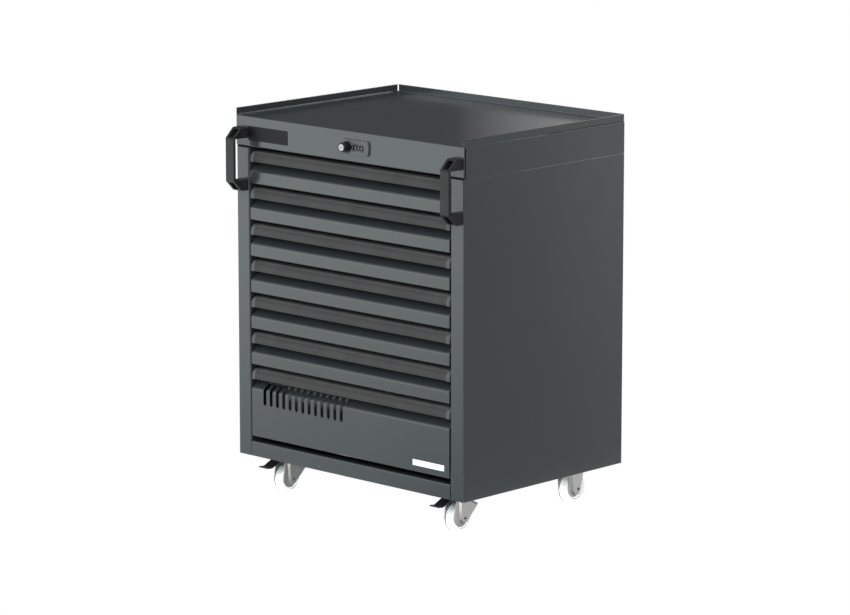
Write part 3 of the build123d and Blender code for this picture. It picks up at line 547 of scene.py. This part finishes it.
# %% The fastener tree
FASTENER_INPUTS = {
    "Sides": "NodeSocketInt",
    "Radius": "NodeSocketFloat",
    "Height": "NodeSocketFloat",
    "Chamfer": "NodeSocketFloat",
    "Recess": "NodeSocketFloat",
    "Facing": "NodeSocketVector",
    "Finish": "NodeSocketMaterial",
}
CHAMFER_SHARE = 0.86
RECESS_SHARE = 0.62
WELD = 0.01 * MM


def fastener_head(tree, sizes):
    """Chamfered head with a recess, closed below."""
    link = tree.links.new
    ring = add(tree, "GeometryNodeMeshCircle", fill_type="NGON")
    link(sizes["Sides"], ring.inputs["Vertices"])
    link(sizes["Radius"], ring.inputs["Radius"])
    mesh, top = extrude_top(tree, ring.outputs["Mesh"], None, sizes["Height"])
    mesh, top = extrude_top(tree, mesh, top, sizes["Chamfer"])
    mesh = scale_top(tree, mesh, top, CHAMFER_SHARE)
    mesh, top = extrude_top(tree, mesh, top, offset=0.0)
    mesh = scale_top(tree, mesh, top, RECESS_SHARE)
    mesh, top = extrude_top(tree, mesh, top, sizes["Recess"])
    underside = add(tree, "GeometryNodeFlipFaces")
    link(ring.outputs["Mesh"], underside.inputs["Mesh"])
    join = add(tree, "GeometryNodeJoinGeometry")
    link(mesh, join.inputs["Geometry"])
    link(underside.outputs["Mesh"], join.inputs["Geometry"])
    weld = add(tree, "GeometryNodeMergeByDistance", {"Distance": WELD})
    link(join.outputs["Geometry"], weld.inputs["Geometry"])
    return weld.outputs["Geometry"]


def fastener_tree():
    """One head, made once and copied to every point."""
    tree, source, result = new_tree("fastener", FASTENER_INPUTS)
    link = tree.links.new
    turn = add(tree, "FunctionNodeAlignRotationToVector", axis="Z")
    link(source.outputs["Facing"], turn.inputs["Vector"])
    copies = add(tree, "GeometryNodeInstanceOnPoints")
    link(source.outputs["Geometry"], copies.inputs["Points"])
    link(fastener_head(tree, source.outputs), copies.inputs["Instance"])
    link(turn.outputs["Rotation"], copies.inputs["Rotation"])
    real = add(tree, "GeometryNodeRealizeInstances")
    link(copies.outputs["Instances"], real.inputs["Geometry"])
    paint = add(tree, "GeometryNodeSetMaterial")
    link(real.outputs["Geometry"], paint.inputs["Geometry"])
    link(source.outputs["Finish"], paint.inputs["Material"])
    link(paint.outputs["Geometry"], result.inputs["Geometry"])
    return tree


FASTENER = fastener_tree()
print("fastener tree inputs:", list(FASTENER_INPUTS))

# %% [markdown]
# ## From a tree to a piece
# A modifier's result lives only as long as its modifier, and an exported file drops copies that aren't
# real meshes.  So the tree runs on a throw-away cloud of points, and its result is kept as a plain mesh
# at the origin.  The piece then rides on the body that carries it on the real chest.

# %% Grow a tree on points
def stand(name, data):
    """Put a mesh, a light or a camera into the scene."""
    thing = bpy.data.objects.new(name, data)
    bpy.context.scene.collection.objects.link(thing)
    return thing


def plain_mesh(thing):
    """The evaluated shape of a thing as a mesh; the thing itself goes."""
    bpy.context.view_layer.update()
    depsgraph = bpy.context.evaluated_depsgraph_get()
    mesh = bpy.data.meshes.new_from_object(thing.evaluated_get(depsgraph))
    bpy.data.objects.remove(thing)
    return mesh


def grow(name, tree, points, inputs):
    """Run a tree on a set of points and keep the result as a plain mesh at the origin."""
    cloud = bpy.data.meshes.new(name + "_points")
    cloud.from_pydata([tuple(point) for point in points], [], [])
    seed = stand(name + "_seed", cloud)
    modifier = seed.modifiers.new("grow", "NODES")
    modifier.node_group = tree
    for item in tree.interface.items_tree:
        if item.in_out == "INPUT" and item.name in inputs:
            modifier[item.identifier] = inputs[item.name]
    return stand(name, plain_mesh(seed))


def seat(piece, body):
    """Let a finished piece ride on its body."""
    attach(piece, body)
    print(f"{piece.name}: {len(piece.data.polygons)} faces on {body}")


print("pieces can grow on points")

# %% [markdown]
# ## Caster bolts and handle screws
# Four hexagon bolts hold each caster plate from below, and a socket screw sits in each pocket of the two
# handles.  Their places could be read off the picture, but most of them are hidden there, so they come
# from the boxes of the plates and handles.

# %% Place the bolts and screws
BOLT_X = 30.0 * MM
BOLT_Y = 25.0 * MM
PLATE_THICKNESS = 3.0 * MM
SCREW_FLOOR = 5.0 * MM
SCREW_RISE = 11.25 * MM
BOLT_SIZES = {"Sides": 6, "Radius": 5.8 * MM, "Height": 3.4 * MM, "Chamfer": 0.6 * MM,
              "Recess": -0.5 * MM, "Facing": (0.0, 0.0, -1.0), "Finish": caster_zinc}
SCREW_SIZES = {"Sides": 20, "Radius": 4.5 * MM, "Height": 3.4 * MM, "Chamfer": 0.6 * MM,
               "Recess": -2.0 * MM, "Facing": (0.0, -1.0, 0.0), "Finish": knob_plastic}


def plate_bolts(node):
    """Bolt places under the two caster plates of a node."""
    y = middle(node).y
    x = middle("right_rear_wheel").x
    plate_low = UNDERSIDE - PLATE_THICKNESS
    return [(sign * x + dx, y + dy, plate_low) for sign in SIGNS.values()
            for dx in (-BOLT_X, BOLT_X) for dy in (-BOLT_Y, BOLT_Y)]


def handle_screws(node):
    """Screw places on the pocket floors of a handle."""
    low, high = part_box(node)
    x = (low.x + high.x) / 2
    return [(x, FRONT - SCREW_FLOOR, z) for z in (low.z + SCREW_RISE, high.z - SCREW_RISE)]


bolts = plate_bolts("front_caster_plates") + plate_bolts("rear_caster_brackets")
seat(grow("caster_bolts", FASTENER, bolts, BOLT_SIZES), "cabinet")
screws = handle_screws("left_handle") + handle_screws("right_handle")
seat(grow("handle_screws", FASTENER, screws, SCREW_SIZES), "cabinet")

# %% [markdown]
# ## Axle rivets
# Every axle is riveted over at both sides of its fork.  The heads could be set on the sides of the fork's
# box, but a fork is dished, so the box says nothing about where its metal is beside the axle.  The points
# of its mesh near the axle do, so they were chosen, and the same tree sets a low round head there.

# %% Rivet the axles
AXLE_BESIDE = 9.0 * MM
SAME_CASTER = 60.0 * MM
RIVET_SIZES = {"Sides": 20, "Radius": 2.9 * MM, "Height": 0.7 * MM, "Chamfer": 0.4 * MM,
               "Recess": -0.6 * MM, "Finish": rivet_steel}


def axle_reach(node, centre):
    """How far a fork reaches from the middle of its wheel, measured beside the axle."""
    corners = [NODES[node].matrix_world @ corner.co for corner in NODES[node].data.vertices]
    offsets = [corner - centre for corner in corners]
    beside = [offset.x for offset in offsets if offset.yz.length < AXLE_BESIDE]
    return max(x for x in beside if x < SAME_CASTER)


def rivet_axle(caster, body, fork):
    """A rivet head at each end of a wheel's axle."""
    centre = middle(f"{caster}_wheel")
    reach = axle_reach(fork, centre)
    for end, sign in SIGNS.items():
        sizes = dict(RIVET_SIZES, Facing=(sign, 0.0, 0.0))
        place = centre + Vector((sign * reach, 0.0, 0.0))
        seat(grow(f"{caster}_axle_rivet_{end}", FASTENER, [place], sizes), body)


for side in SIGNS:
    rivet_axle(f"{side}_front", f"{side}_swivel", f"{side}_swivel_fork")
    rivet_axle(f"{side}_rear", "cabinet", "rear_caster_brackets")

# %% [markdown]
# ## Tread grooves
# A fine groove runs round the tread of every wheel, close to its left edge.  White on white its shade
# is the line that shows where a wheel ends.  It could be cut into the wheel, but the solids stay as they
# are, so a dark ring let into the tread stands for it, painted with the groove's shade.  A ring could be
# spun in one call, but then the order of its faces changes from run to run, so its small section is set
# round the axle step by step instead.

# %% Groove round each wheel
GROOVE_EDGE = 4.2 * MM
GROOVE_WIDTH = 2.6 * MM
GROOVE_DEPTH = 0.6 * MM
GROOVE_PROUD = 0.04 * MM
GROOVE_STEPS = 96
FULL_TURN = 2.0 * math.pi


def cast(name, shape, material):
    """Turn a finished bmesh into a piece with one material."""
    mesh = bpy.data.meshes.new(name)
    shape.to_mesh(mesh)
    shape.free()
    mesh.materials.append(material)
    return stand(name, mesh)


def tread_groove(name, wheel):
    """Thin dark ring close to the left edge of a wheel's tread, painted with a groove's shade."""
    low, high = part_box(wheel)
    axle = (low + high) / 2
    radius = (high.z - low.z) / 2
    left = low.x - axle.x + GROOVE_EDGE
    right = left + GROOVE_WIDTH
    floor, crest = radius - GROOVE_DEPTH, radius + GROOVE_PROUD
    section = [(left, floor), (right, floor), (right, crest), (left, crest)]
    shape = bmesh.new()
    rings = []
    for step in range(GROOVE_STEPS):
        turn = Matrix.Rotation(FULL_TURN * step / GROOVE_STEPS, 3, "X")
        rings.append([shape.verts.new(axle + turn @ Vector((x, 0.0, z))) for x, z in section])
    for step, ring in enumerate(rings):
        last = rings[step - 1]
        for i in range(len(section)):
            shape.faces.new((last[i - 1], last[i], ring[i], ring[i - 1]))
    bmesh.ops.recalc_face_normals(shape, faces=shape.faces)
    return cast(name, shape, groove_shade)


for side in SIGNS:
    for end in ("front", "rear"):
        wheel = f"{side}_{end}_wheel"
        seat(tread_groove(wheel + "_groove", wheel), wheel)

# %% [markdown]
# ## Bare plates
# A dark plate sits at the left of the fascia and a white one at the lower right of the bottom drawer.
# Colour on the face below could draw them, but a real plate stands proud and its edge catches light.  So
# each is a thin sheet with rounded corners and a bevelled edge, built flat and set on its face.

# %% Thin plates with rounded corners
CORNER_STEPS = 5
QUARTER_TURN = math.radians(90.0)
EDGE_SHARE = 0.4
EDGE_STEPS = 2


def rounded_ring(shape, across, upward, face_y, corner):
    """Corner points of a rounded rectangle in the plane of a face."""
    left, right = across
    bottom, top = upward
    ring = []
    for turn, (x, z) in enumerate(((right, top), (left, top), (left, bottom), (right, bottom))):
        inward = Vector((-1.0 if x == right else 1.0, 0.0, -1.0 if z == top else 1.0))
        centre = Vector((x, face_y, z)) + inward * corner
        for step in range(CORNER_STEPS + 1):
            angle = QUARTER_TURN * (turn + step / CORNER_STEPS)
            outward = Vector((math.cos(angle), 0.0, math.sin(angle)))
            ring.append(shape.verts.new(centre + corner * outward))
    return ring


def plate(name, across, upward, face_y, thickness, corner, material):
    """Thin rounded plate that stands proud of a face of the chest."""
    shape = bmesh.new()
    back = shape.faces.new(rounded_ring(shape, across, upward, face_y, corner))
    grown = bmesh.ops.extrude_face_region(shape, geom=[back])
    lid = [item for item in grown["geom"] if isinstance(item, bmesh.types.BMVert)]
    bmesh.ops.translate(shape, verts=lid, vec=(0.0, -thickness, 0.0))
    edge = [item for item in shape.edges if all(v in lid for v in item.verts)]
    bmesh.ops.bevel(shape, geom=edge, offset=thickness * EDGE_SHARE, segments=EDGE_STEPS,
                    affect="EDGES")
    bmesh.ops.recalc_face_normals(shape, faces=shape.faces)
    return cast(name, shape, material)


print("plates can be made")

# %% [markdown]
# ## Where the plates sit
# On the real chest each plate sits a little in from the edges of its sheet.  The plates could be set by
# eye, but they would stay behind when a sheet changes.  So they are measured from the frame: one from the
# fascia's lower left corner, the other from the bottom drawer's lower right one.

# %% Plates on the fascia and on the bottom drawer
BADGE_INSET = 36.5 * MM
BADGE_RISE = 14.0 * MM
BADGE_WIDTH = 120.5 * MM
BADGE_HEIGHT = 31.0 * MM
BADGE_SHEET = {"thickness": 1.2 * MM, "corner": 2.0 * MM, "material": badge_plate_finish}
LABEL_INSET = 14.4 * MM
LABEL_RISE = 13.9 * MM
LABEL_WIDTH = 91.0 * MM
LABEL_HEIGHT = 12.7 * MM
LABEL_SHEET = {"thickness": 0.6 * MM, "corner": 1.0 * MM, "material": label_plate_finish}


def span(start, length):
    """Start and end of a stretch of that length."""
    return start, start + length


fascia_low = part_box("worktop_tray")[0]
badge_x = span(fascia_low.x + BADGE_INSET, BADGE_WIDTH)
badge_z = span(fascia_low.z + BADGE_RISE, BADGE_HEIGHT)
badge = plate("fascia_plate", badge_x, badge_z, FRONT, **BADGE_SHEET)
seat(badge, "cabinet")
drawer_low, drawer_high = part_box("drawer_7_front")
label_x = span(drawer_high.x - LABEL_INSET - LABEL_WIDTH, LABEL_WIDTH)
label_z = span(drawer_low.z + LABEL_RISE, LABEL_HEIGHT)
label = plate("drawer_plate", label_x, label_z, FRONT, **LABEL_SHEET)
seat(label, "drawer_7")

# %% [markdown]
# ## Painted shade in the joints
# Between the top of each post and the fascia runs a joint that lies dark in shade.  Left open, the
# joint would show light from inside the cabinet.  A near-black plate, set a little behind the drawer
# fronts and as high as the joint, closes it as painted shade, and the plate helper makes it at once.

# %% Painted shade strips between the posts and the fascia
# Painted shade: a dark strip in each joint stands for its shade
JOINT_SHADE_SETBACK = 1.5 * MM
JOINT_SHADE_MARGIN = 1.5 * MM
JOINT_SHADE_SHEET = {"thickness": 1.0 * MM, "corner": 0.4 * MM, "material": joint_shade_finish}
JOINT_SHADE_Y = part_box("drawer_1_front")[0].y + JOINT_SHADE_SETBACK
JOINT_SHADE_Z = (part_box("left_side_panel")[1].z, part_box("worktop_tray")[0].z)
JOINT_SHADE_X = (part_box("drawer_1_front")[1].x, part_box("worktop_tray")[1].x - JOINT_SHADE_MARGIN)
for side, sign in SIGNS.items():
    ends = sorted(sign * x for x in JOINT_SHADE_X)
    strip = plate(f"{side}_post_joint_shade", ends, JOINT_SHADE_Z, JOINT_SHADE_Y, **JOINT_SHADE_SHEET)
    seat(strip, "cabinet")

# %% [markdown]
# ## Digits on the dials
# Every facet of a lock dial carries a white digit.  A texture could hold them, but text made of mesh stays
# sharp and turns with its dial.  Text becomes a mesh first, then each digit is moved to its facet: out to
# the flat, turned round the dial's axis, and joined into one piece for each dial.

# %% Digits round each dial
DIAL_FACETS = 10
DIGIT_SIZE = 4.6 * MM
DIGIT_DEPTH = 0.06 * MM
UPRIGHT = Matrix.Rotation(QUARTER_TURN, 4, "X")


def digit_mesh(character):
    """One digit as a thin solid, centred on its facet."""
    text = bpy.data.curves.new("digit_" + character, "FONT")
    text.body = character
    text.size = DIGIT_SIZE
    text.extrude = DIGIT_DEPTH
    text.align_x = "CENTER"
    text.align_y = "CENTER"
    return plain_mesh(stand("digit_carrier", text))


def dial_digits(number):
    """All digits of one dial, each on its facet."""
    low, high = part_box(f"lock_dial_{number}")
    centre = Matrix.Translation((low + high) / 2)
    out = Matrix.Translation((0.0, -(high.y - low.y) / 2, 0.0))
    shape = bmesh.new()
    for facet in range(DIAL_FACETS):
        mesh = digit_mesh(str(facet))
        turn = Matrix.Rotation(FULL_TURN * (facet - number) / DIAL_FACETS, 4, "X")
        mesh.transform(centre @ turn @ out @ UPRIGHT)
        shape.from_mesh(mesh)
        bpy.data.meshes.remove(mesh)
    return cast(f"dial_{number}_digits", shape, digit_paint)


for number in DIALS:
    seat(dial_digits(number), f"lock_dial_{number}")

# %% [markdown]
# ## White studio
# The picture is a catalogue shot on pure white.  A white room could give it, but the coat would mirror it
# and every gloss would burn out.  So the floor and the backdrop look white to the camera only, and what
# the chest mirrors is a dimmer room.  A Light Path node in the studio's own surfaces keeps the two apart.

# %% Nodes for the studio
ROOM_DIM = 0.085


def by_ray(tree, ray, yes, no):
    """One shader for one kind of ray and another for every other kind."""
    kinds = add(tree, "ShaderNodeLightPath")
    choose = add(tree, "ShaderNodeMixShader")
    tree.links.new(kinds.outputs[ray], choose.inputs["Fac"])
    tree.links.new(no, choose.inputs[1])
    tree.links.new(yes, choose.inputs[2])
    return choose.outputs["Shader"]


def show(tree, shader, kind="ShaderNodeOutputMaterial"):
    """Let a shader be what the tree puts out."""
    output = add(tree, kind)
    tree.links.new(shader, output.inputs["Surface"])


def bare_tree(name):
    """An empty material tree for a studio surface."""
    material = bpy.data.materials.new(name)
    material.use_nodes = True
    material.node_tree.nodes.clear()
    return material, material.node_tree


def studio_sheet(name, corners, material):
    """One flat four-cornered surface of the studio."""
    mesh = bpy.data.meshes.new(name)
    mesh.from_pydata(corners, [], [(0, 1, 2, 3)])
    mesh.materials.append(material)
    sheet = stand(name, mesh)


print("studio nodes ready")

# %% [markdown]
# ## Floor
# The front faces mirror the floor at the front left, and the right side mirrors the floor at the back
# right.  Lamps could light those places, but their spots would show.  The floor itself glows instead: one
# ramp rises to the left, one behind the chest, a narrow strip lies along the right side, and the middle
# stays dim.  A bounce under the chest, for soft light alone, lifts the casters.

# %% Glow of the floor
# Brightness and easing have no unit, places are in metres from the middle of the chest
GLOW_LOW = 0.365
GLOW_HIGH = 1.35
GLOW_START = 0.25
GLOW_END = -3.05
GLOW_EASE = 1.7
BACK_GLOW = 0.40
BACK_EDGE = (-0.12, 0.35)
BACK_EASE = 2.4
BACK_FAR = 3.1
BACK_SLANT = -1.12
BACK_OFFSET = 0.483
UNDER_REACH = 0.55
UNDER_DIM = 0.45
STRIP_GLOW = 0.45
STRIP_RISE = (0.28, 0.36)
STRIP_FALL = (0.48, 0.60)
BOUNCE_GLOW = 2.8
BOUNCE_REACH = (0.31, 0.46)


def floor_ramps(tree):
    """Glow that rises to the left, and again behind the chest."""
    x = coordinate(tree, "X")
    y = coordinate(tree, "Y")
    near = levels(tree, x, 1.0, 0.0, GLOW_START, GLOW_END)
    left = levels(tree, maths(tree, "POWER", near, GLOW_EASE), GLOW_HIGH, GLOW_LOW, 0.0, 1.0)
    across = maths(tree, "ADD", maths(tree, "MULTIPLY_ADD", x, BACK_SLANT, BACK_OFFSET), y)
    behind = maths(tree, "POWER", levels(tree, across, 0.0, 1.0, *BACK_EDGE), BACK_EASE)
    back = maths(tree, "MULTIPLY", behind, levels(tree, x, 0.0, BACK_GLOW, 0.0, BACK_FAR))
    return maths(tree, "ADD", left, back)


def floor_glow(tree):
    """Glow of the floor: the ramps, dim in the middle, the strip and the bounce."""
    x = coordinate(tree, "X")
    length = add(tree, "ShaderNodeVectorMath", operation="LENGTH")
    tree.links.new(object_place(tree), length.inputs[0])
    away = length.outputs["Value"]
    # Painted shadow: the glow dims under the chest, as the chest's shadow would
    under = levels(tree, away, UNDER_DIM, 1.0, 0.0, UNDER_REACH)
    ramps = maths(tree, "MULTIPLY", floor_ramps(tree), under)
    rise = levels(tree, x, 0.0, STRIP_GLOW, *STRIP_RISE)
    strip = maths(tree, "MULTIPLY", rise, levels(tree, x, 1.0, 0.0, *STRIP_FALL))
    soft = add(tree, "ShaderNodeLightPath").outputs["Is Diffuse Ray"]
    bounce = maths(tree, "MULTIPLY", levels(tree, away, BOUNCE_GLOW, 0.0, *BOUNCE_REACH), soft)
    return maths(tree, "ADD", maths(tree, "ADD", ramps, strip), bounce)


print("floor glow ready")

# %% [markdown]
# ## Floor sheet
# In a studio white paper runs under the object, so wide that none of its edges shows.  A curved sweep
# could be modelled, but white on white its curve can't be seen.  So one flat square was chosen, with two
# shaders: pure white for the camera, and the glow for every other ray.

# %% Floor
FLOOR_REACH = 30.0
FLOOR_WHITE = 1.0
FLOOR_TINT = (0.945, 1.0, 1.0, 1.0)
SQUARE = ((-1.0, -1.0), (1.0, -1.0), (1.0, 1.0), (-1.0, 1.0))


def studio_floor():
    """Wide floor, pure white to the eye, with the glow for everything else."""
    material, tree = bare_tree("studio_floor")
    mirrored = add(tree, "ShaderNodeEmission", {"Color": FLOOR_TINT})
    tree.links.new(floor_glow(tree), mirrored.inputs["Strength"])
    white = add(tree, "ShaderNodeEmission", {"Strength": FLOOR_WHITE})
    eye = by_ray(tree, "Is Camera Ray", white.outputs["Emission"], mirrored.outputs["Emission"])
    show(tree, eye)
    corners = [(x * FLOOR_REACH, y * FLOOR_REACH, 0.0) for x, y in SQUARE]
    studio_sheet("studio_floor", corners, material)


studio_floor()
print(f"floor {2 * FLOOR_REACH:.0f} m wide")

# %% [markdown]
# ## Card for the worktop
# The worktop is seen at a low angle, so it mirrors what stands behind the chest: a dim room that grows
# pale to the right.  A lamp there would be mirrored as a hard shape.  A card whose brightness rises along
# its length gives the soft change, and it hides from the camera.

# %% Card behind the chest
CARD_AWAY = Vector((-0.689, 0.725, 0.0))
CARD_ALONG = Vector((0.725, 0.689, 0.0))
CARD_DISTANCE = 1.1
CARD_SPAN = (0.08, 0.60)
CARD_HEIGHT = (0.86, 1.60)
CARD_GLOW = 0.88


def worktop_card():
    """Upright card with a side-to-side ramp of light, unseen by the camera."""
    material, tree = bare_tree("worktop_card")
    along = add(tree, "ShaderNodeVectorMath", {1: CARD_ALONG}, operation="DOT_PRODUCT")
    tree.links.new(object_place(tree), along.inputs[0])
    glow = add(tree, "ShaderNodeEmission")
    ramp = levels(tree, along.outputs["Value"], ROOM_DIM, CARD_GLOW, *CARD_SPAN)
    tree.links.new(ramp, glow.inputs["Strength"])
    clear = add(tree, "ShaderNodeBsdfTransparent")
    show(tree, by_ray(tree, "Is Camera Ray", clear.outputs["BSDF"], glow.outputs["Emission"]))
    near, far = (CARD_AWAY * CARD_DISTANCE + CARD_ALONG * reach for reach in CARD_SPAN)
    low, high = (Vector((0.0, 0.0, height)) for height in CARD_HEIGHT)
    corners = [near + low, far + low, far + high, near + high]
    studio_sheet("worktop_card", corners, material)


worktop_card()
print("card stands", CARD_DISTANCE, "m behind the middle of the chest")

# %% [markdown]
# ## Glint cards
# A bend in plated sheet draws a bright line, because it mirrors every side of the room at once.  A lamp
# aimed at the casters would light all of them.  A low card before each swivel caster gives the line
# alone: only mirrored rays meet it, so it casts no shadow, and it is too low to show in the cabinet.

# %% Low cards before the swivel casters
GLINT_GLOW = 7.0
GLINT_AWAY = 0.14
GLINT_HALF = 0.05
GLINT_HEIGHT = 0.05
GLINT_LINE = Vector((0.725, -0.689, 0.0))


def glint_finish():
    """Glow that only mirrored rays meet."""
    material, tree = bare_tree("glint_card")
    glow = add(tree, "ShaderNodeEmission", {"Strength": GLINT_GLOW})
    clear = add(tree, "ShaderNodeBsdfTransparent")
    show(tree, by_ray(tree, "Is Glossy Ray", glow.outputs["Emission"], clear.outputs["BSDF"]))
    return material


def glint_card(name, fork, material):
    """Small upright card to the front right of the bend in a fork."""
    low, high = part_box(fork)
    foot = Vector((high.x, low.y, 0.0)) + GLINT_LINE * GLINT_AWAY
    half = Vector((-GLINT_LINE.y, GLINT_LINE.x, 0.0)) * GLINT_HALF
    top = Vector((0.0, 0.0, GLINT_HEIGHT))
    corners = [foot - half, foot + half, foot + half + top, foot - half + top]
    studio_sheet(name, corners, material)


glint = glint_finish()
for side in SIGNS:
    glint_card(f"{side}_glint_card", f"{side}_swivel_fork", glint)
print("glint cards ready")

# %% [markdown]
# ## Room
# The light of the picture comes from the front right, softly, as from a large white wall.  An area light
# that big would be mirrored as a rectangle, so the world itself glows there.  It falls off to the back
# and to the left, where only a low band stays bright for the inside of the rim.  In mirrored rays the
# bright wall is dimmer, or the worktop would look white from behind.

# %% Room
# An edge is a part of a direction: -1 is left, front or down, and 1 is right, back or up
ROOM_WHITE = 1.05
ROOM_TINT = (0.93, 0.98, 1.0, 1.0)
ROOM_FRONT = 2.6
FRONT_EDGE = (-0.6, 0.1)
LEFT_SHARE = 0.24
LEFT_EDGE = (-0.6, -0.2)
LOW_SHARE = 0.70
LOW_EDGE = (0.08, 0.28)
MIRROR_SHARE = 0.4


def room_glow(tree):
    """Glow by direction: bright at the front right, with a low band at the front left."""
    x, y, z = (coordinate(tree, axis, "Generated") for axis in "XYZ")
    front = levels(tree, y, ROOM_FRONT, 0.0, *FRONT_EDGE)
    left = levels(tree, x, 1.0, 0.0, *LEFT_EDGE)
    left_share = levels(tree, z, LOW_SHARE, LEFT_SHARE, *LOW_EDGE)
    glossy = add(tree, "ShaderNodeLightPath").outputs["Is Glossy Ray"]
    right_share = levels(tree, glossy, 1.0, MIRROR_SHARE, 0.0, 1.0)
    change = maths(tree, "SUBTRACT", left_share, right_share)
    share = maths(tree, "MULTIPLY_ADD", left, change, right_share)
    return maths(tree, "MULTIPLY_ADD", front, share, ROOM_DIM)


def studio_room():
    """White backdrop for the eye; for everything else the glow of the room."""
    world = bpy.data.worlds.new("studio_room")
    world.use_nodes = True
    tree = world.node_tree
    tree.nodes.clear()
    dim = add(tree, "ShaderNodeBackground", {"Color": ROOM_TINT})
    tree.links.new(room_glow(tree), dim.inputs["Strength"])
    white = add(tree, "ShaderNodeBackground", {"Strength": ROOM_WHITE})
    eye = by_ray(tree, "Is Camera Ray", white.outputs["Background"], dim.outputs["Background"])
    show(tree, eye, "ShaderNodeOutputWorld")
    bpy.context.scene.world = world


studio_room()
print("room ready")

# %% [markdown]
# ## Softboxes
# In a photo studio a broad panel hangs overhead and smaller ones stand round the set.  The room's glow
# alone would leave the slopes flat, so a panel overhead lights the slopes and the grips, and a small
# bright one behind draws a thin line of light along the seams of the right side.  Neither shows in a flat
# face.

# %% Softboxes
AIM = Vector((0.0, 0.0, 0.45))


def softbox(name, place, width, power):
    """Square light panel that faces the chest."""
    light = bpy.data.lights.new(name, "AREA")
    light.shape = "RECTANGLE"
    light.size = width
    light.size_y = width
    light.energy = power
    panel = stand(name, light)
    panel.location = place
    panel.rotation_euler = (AIM - Vector(place)).to_track_quat("-Z", "Y").to_euler()
    panel.visible_camera = False


softbox("overhead_panel", place=(0.9, -0.8, 3.2), width=2.4, power=15.0)
softbox("seam_panel", place=(1.3, 2.3, 2.2), width=1.0, power=16.0)
print("softboxes:", [light.name for light in bpy.data.lights])

# %% [markdown]
# ## Camera
# The photograph was taken with a long lens from the right, a little above the worktop.  A camera could be
# moved by eye until it looks right, but then no edge quite agrees.  Its angle, distance and lens were
# fitted to the straight edges of the chest instead.

# %% Camera
VIEW_AZIMUTH = math.radians(43.515)
VIEW_ELEVATION = math.radians(11.105)
CAMERA_PLACE = Vector((5.9552, -6.2669, 2.1213))
CAMERA_LENS = 172.06
SENSOR_WIDTH = 36.0
VIEW_END = 100.0


def place_camera():
    """Camera on the fitted line of sight."""
    data = bpy.data.cameras.new("camera")
    data.lens = CAMERA_LENS
    data.sensor_width = SENSOR_WIDTH
    data.sensor_fit = "HORIZONTAL"
    data.clip_end = VIEW_END
    camera = stand("camera", data)
    camera.location = CAMERA_PLACE
    camera.rotation_euler = (math.pi / 2 - VIEW_ELEVATION, 0.0, VIEW_AZIMUTH)
    bpy.context.scene.camera = camera


place_camera()
bpy.context.scene.view_settings.view_transform = "Standard"
print("camera lens", CAMERA_LENS)
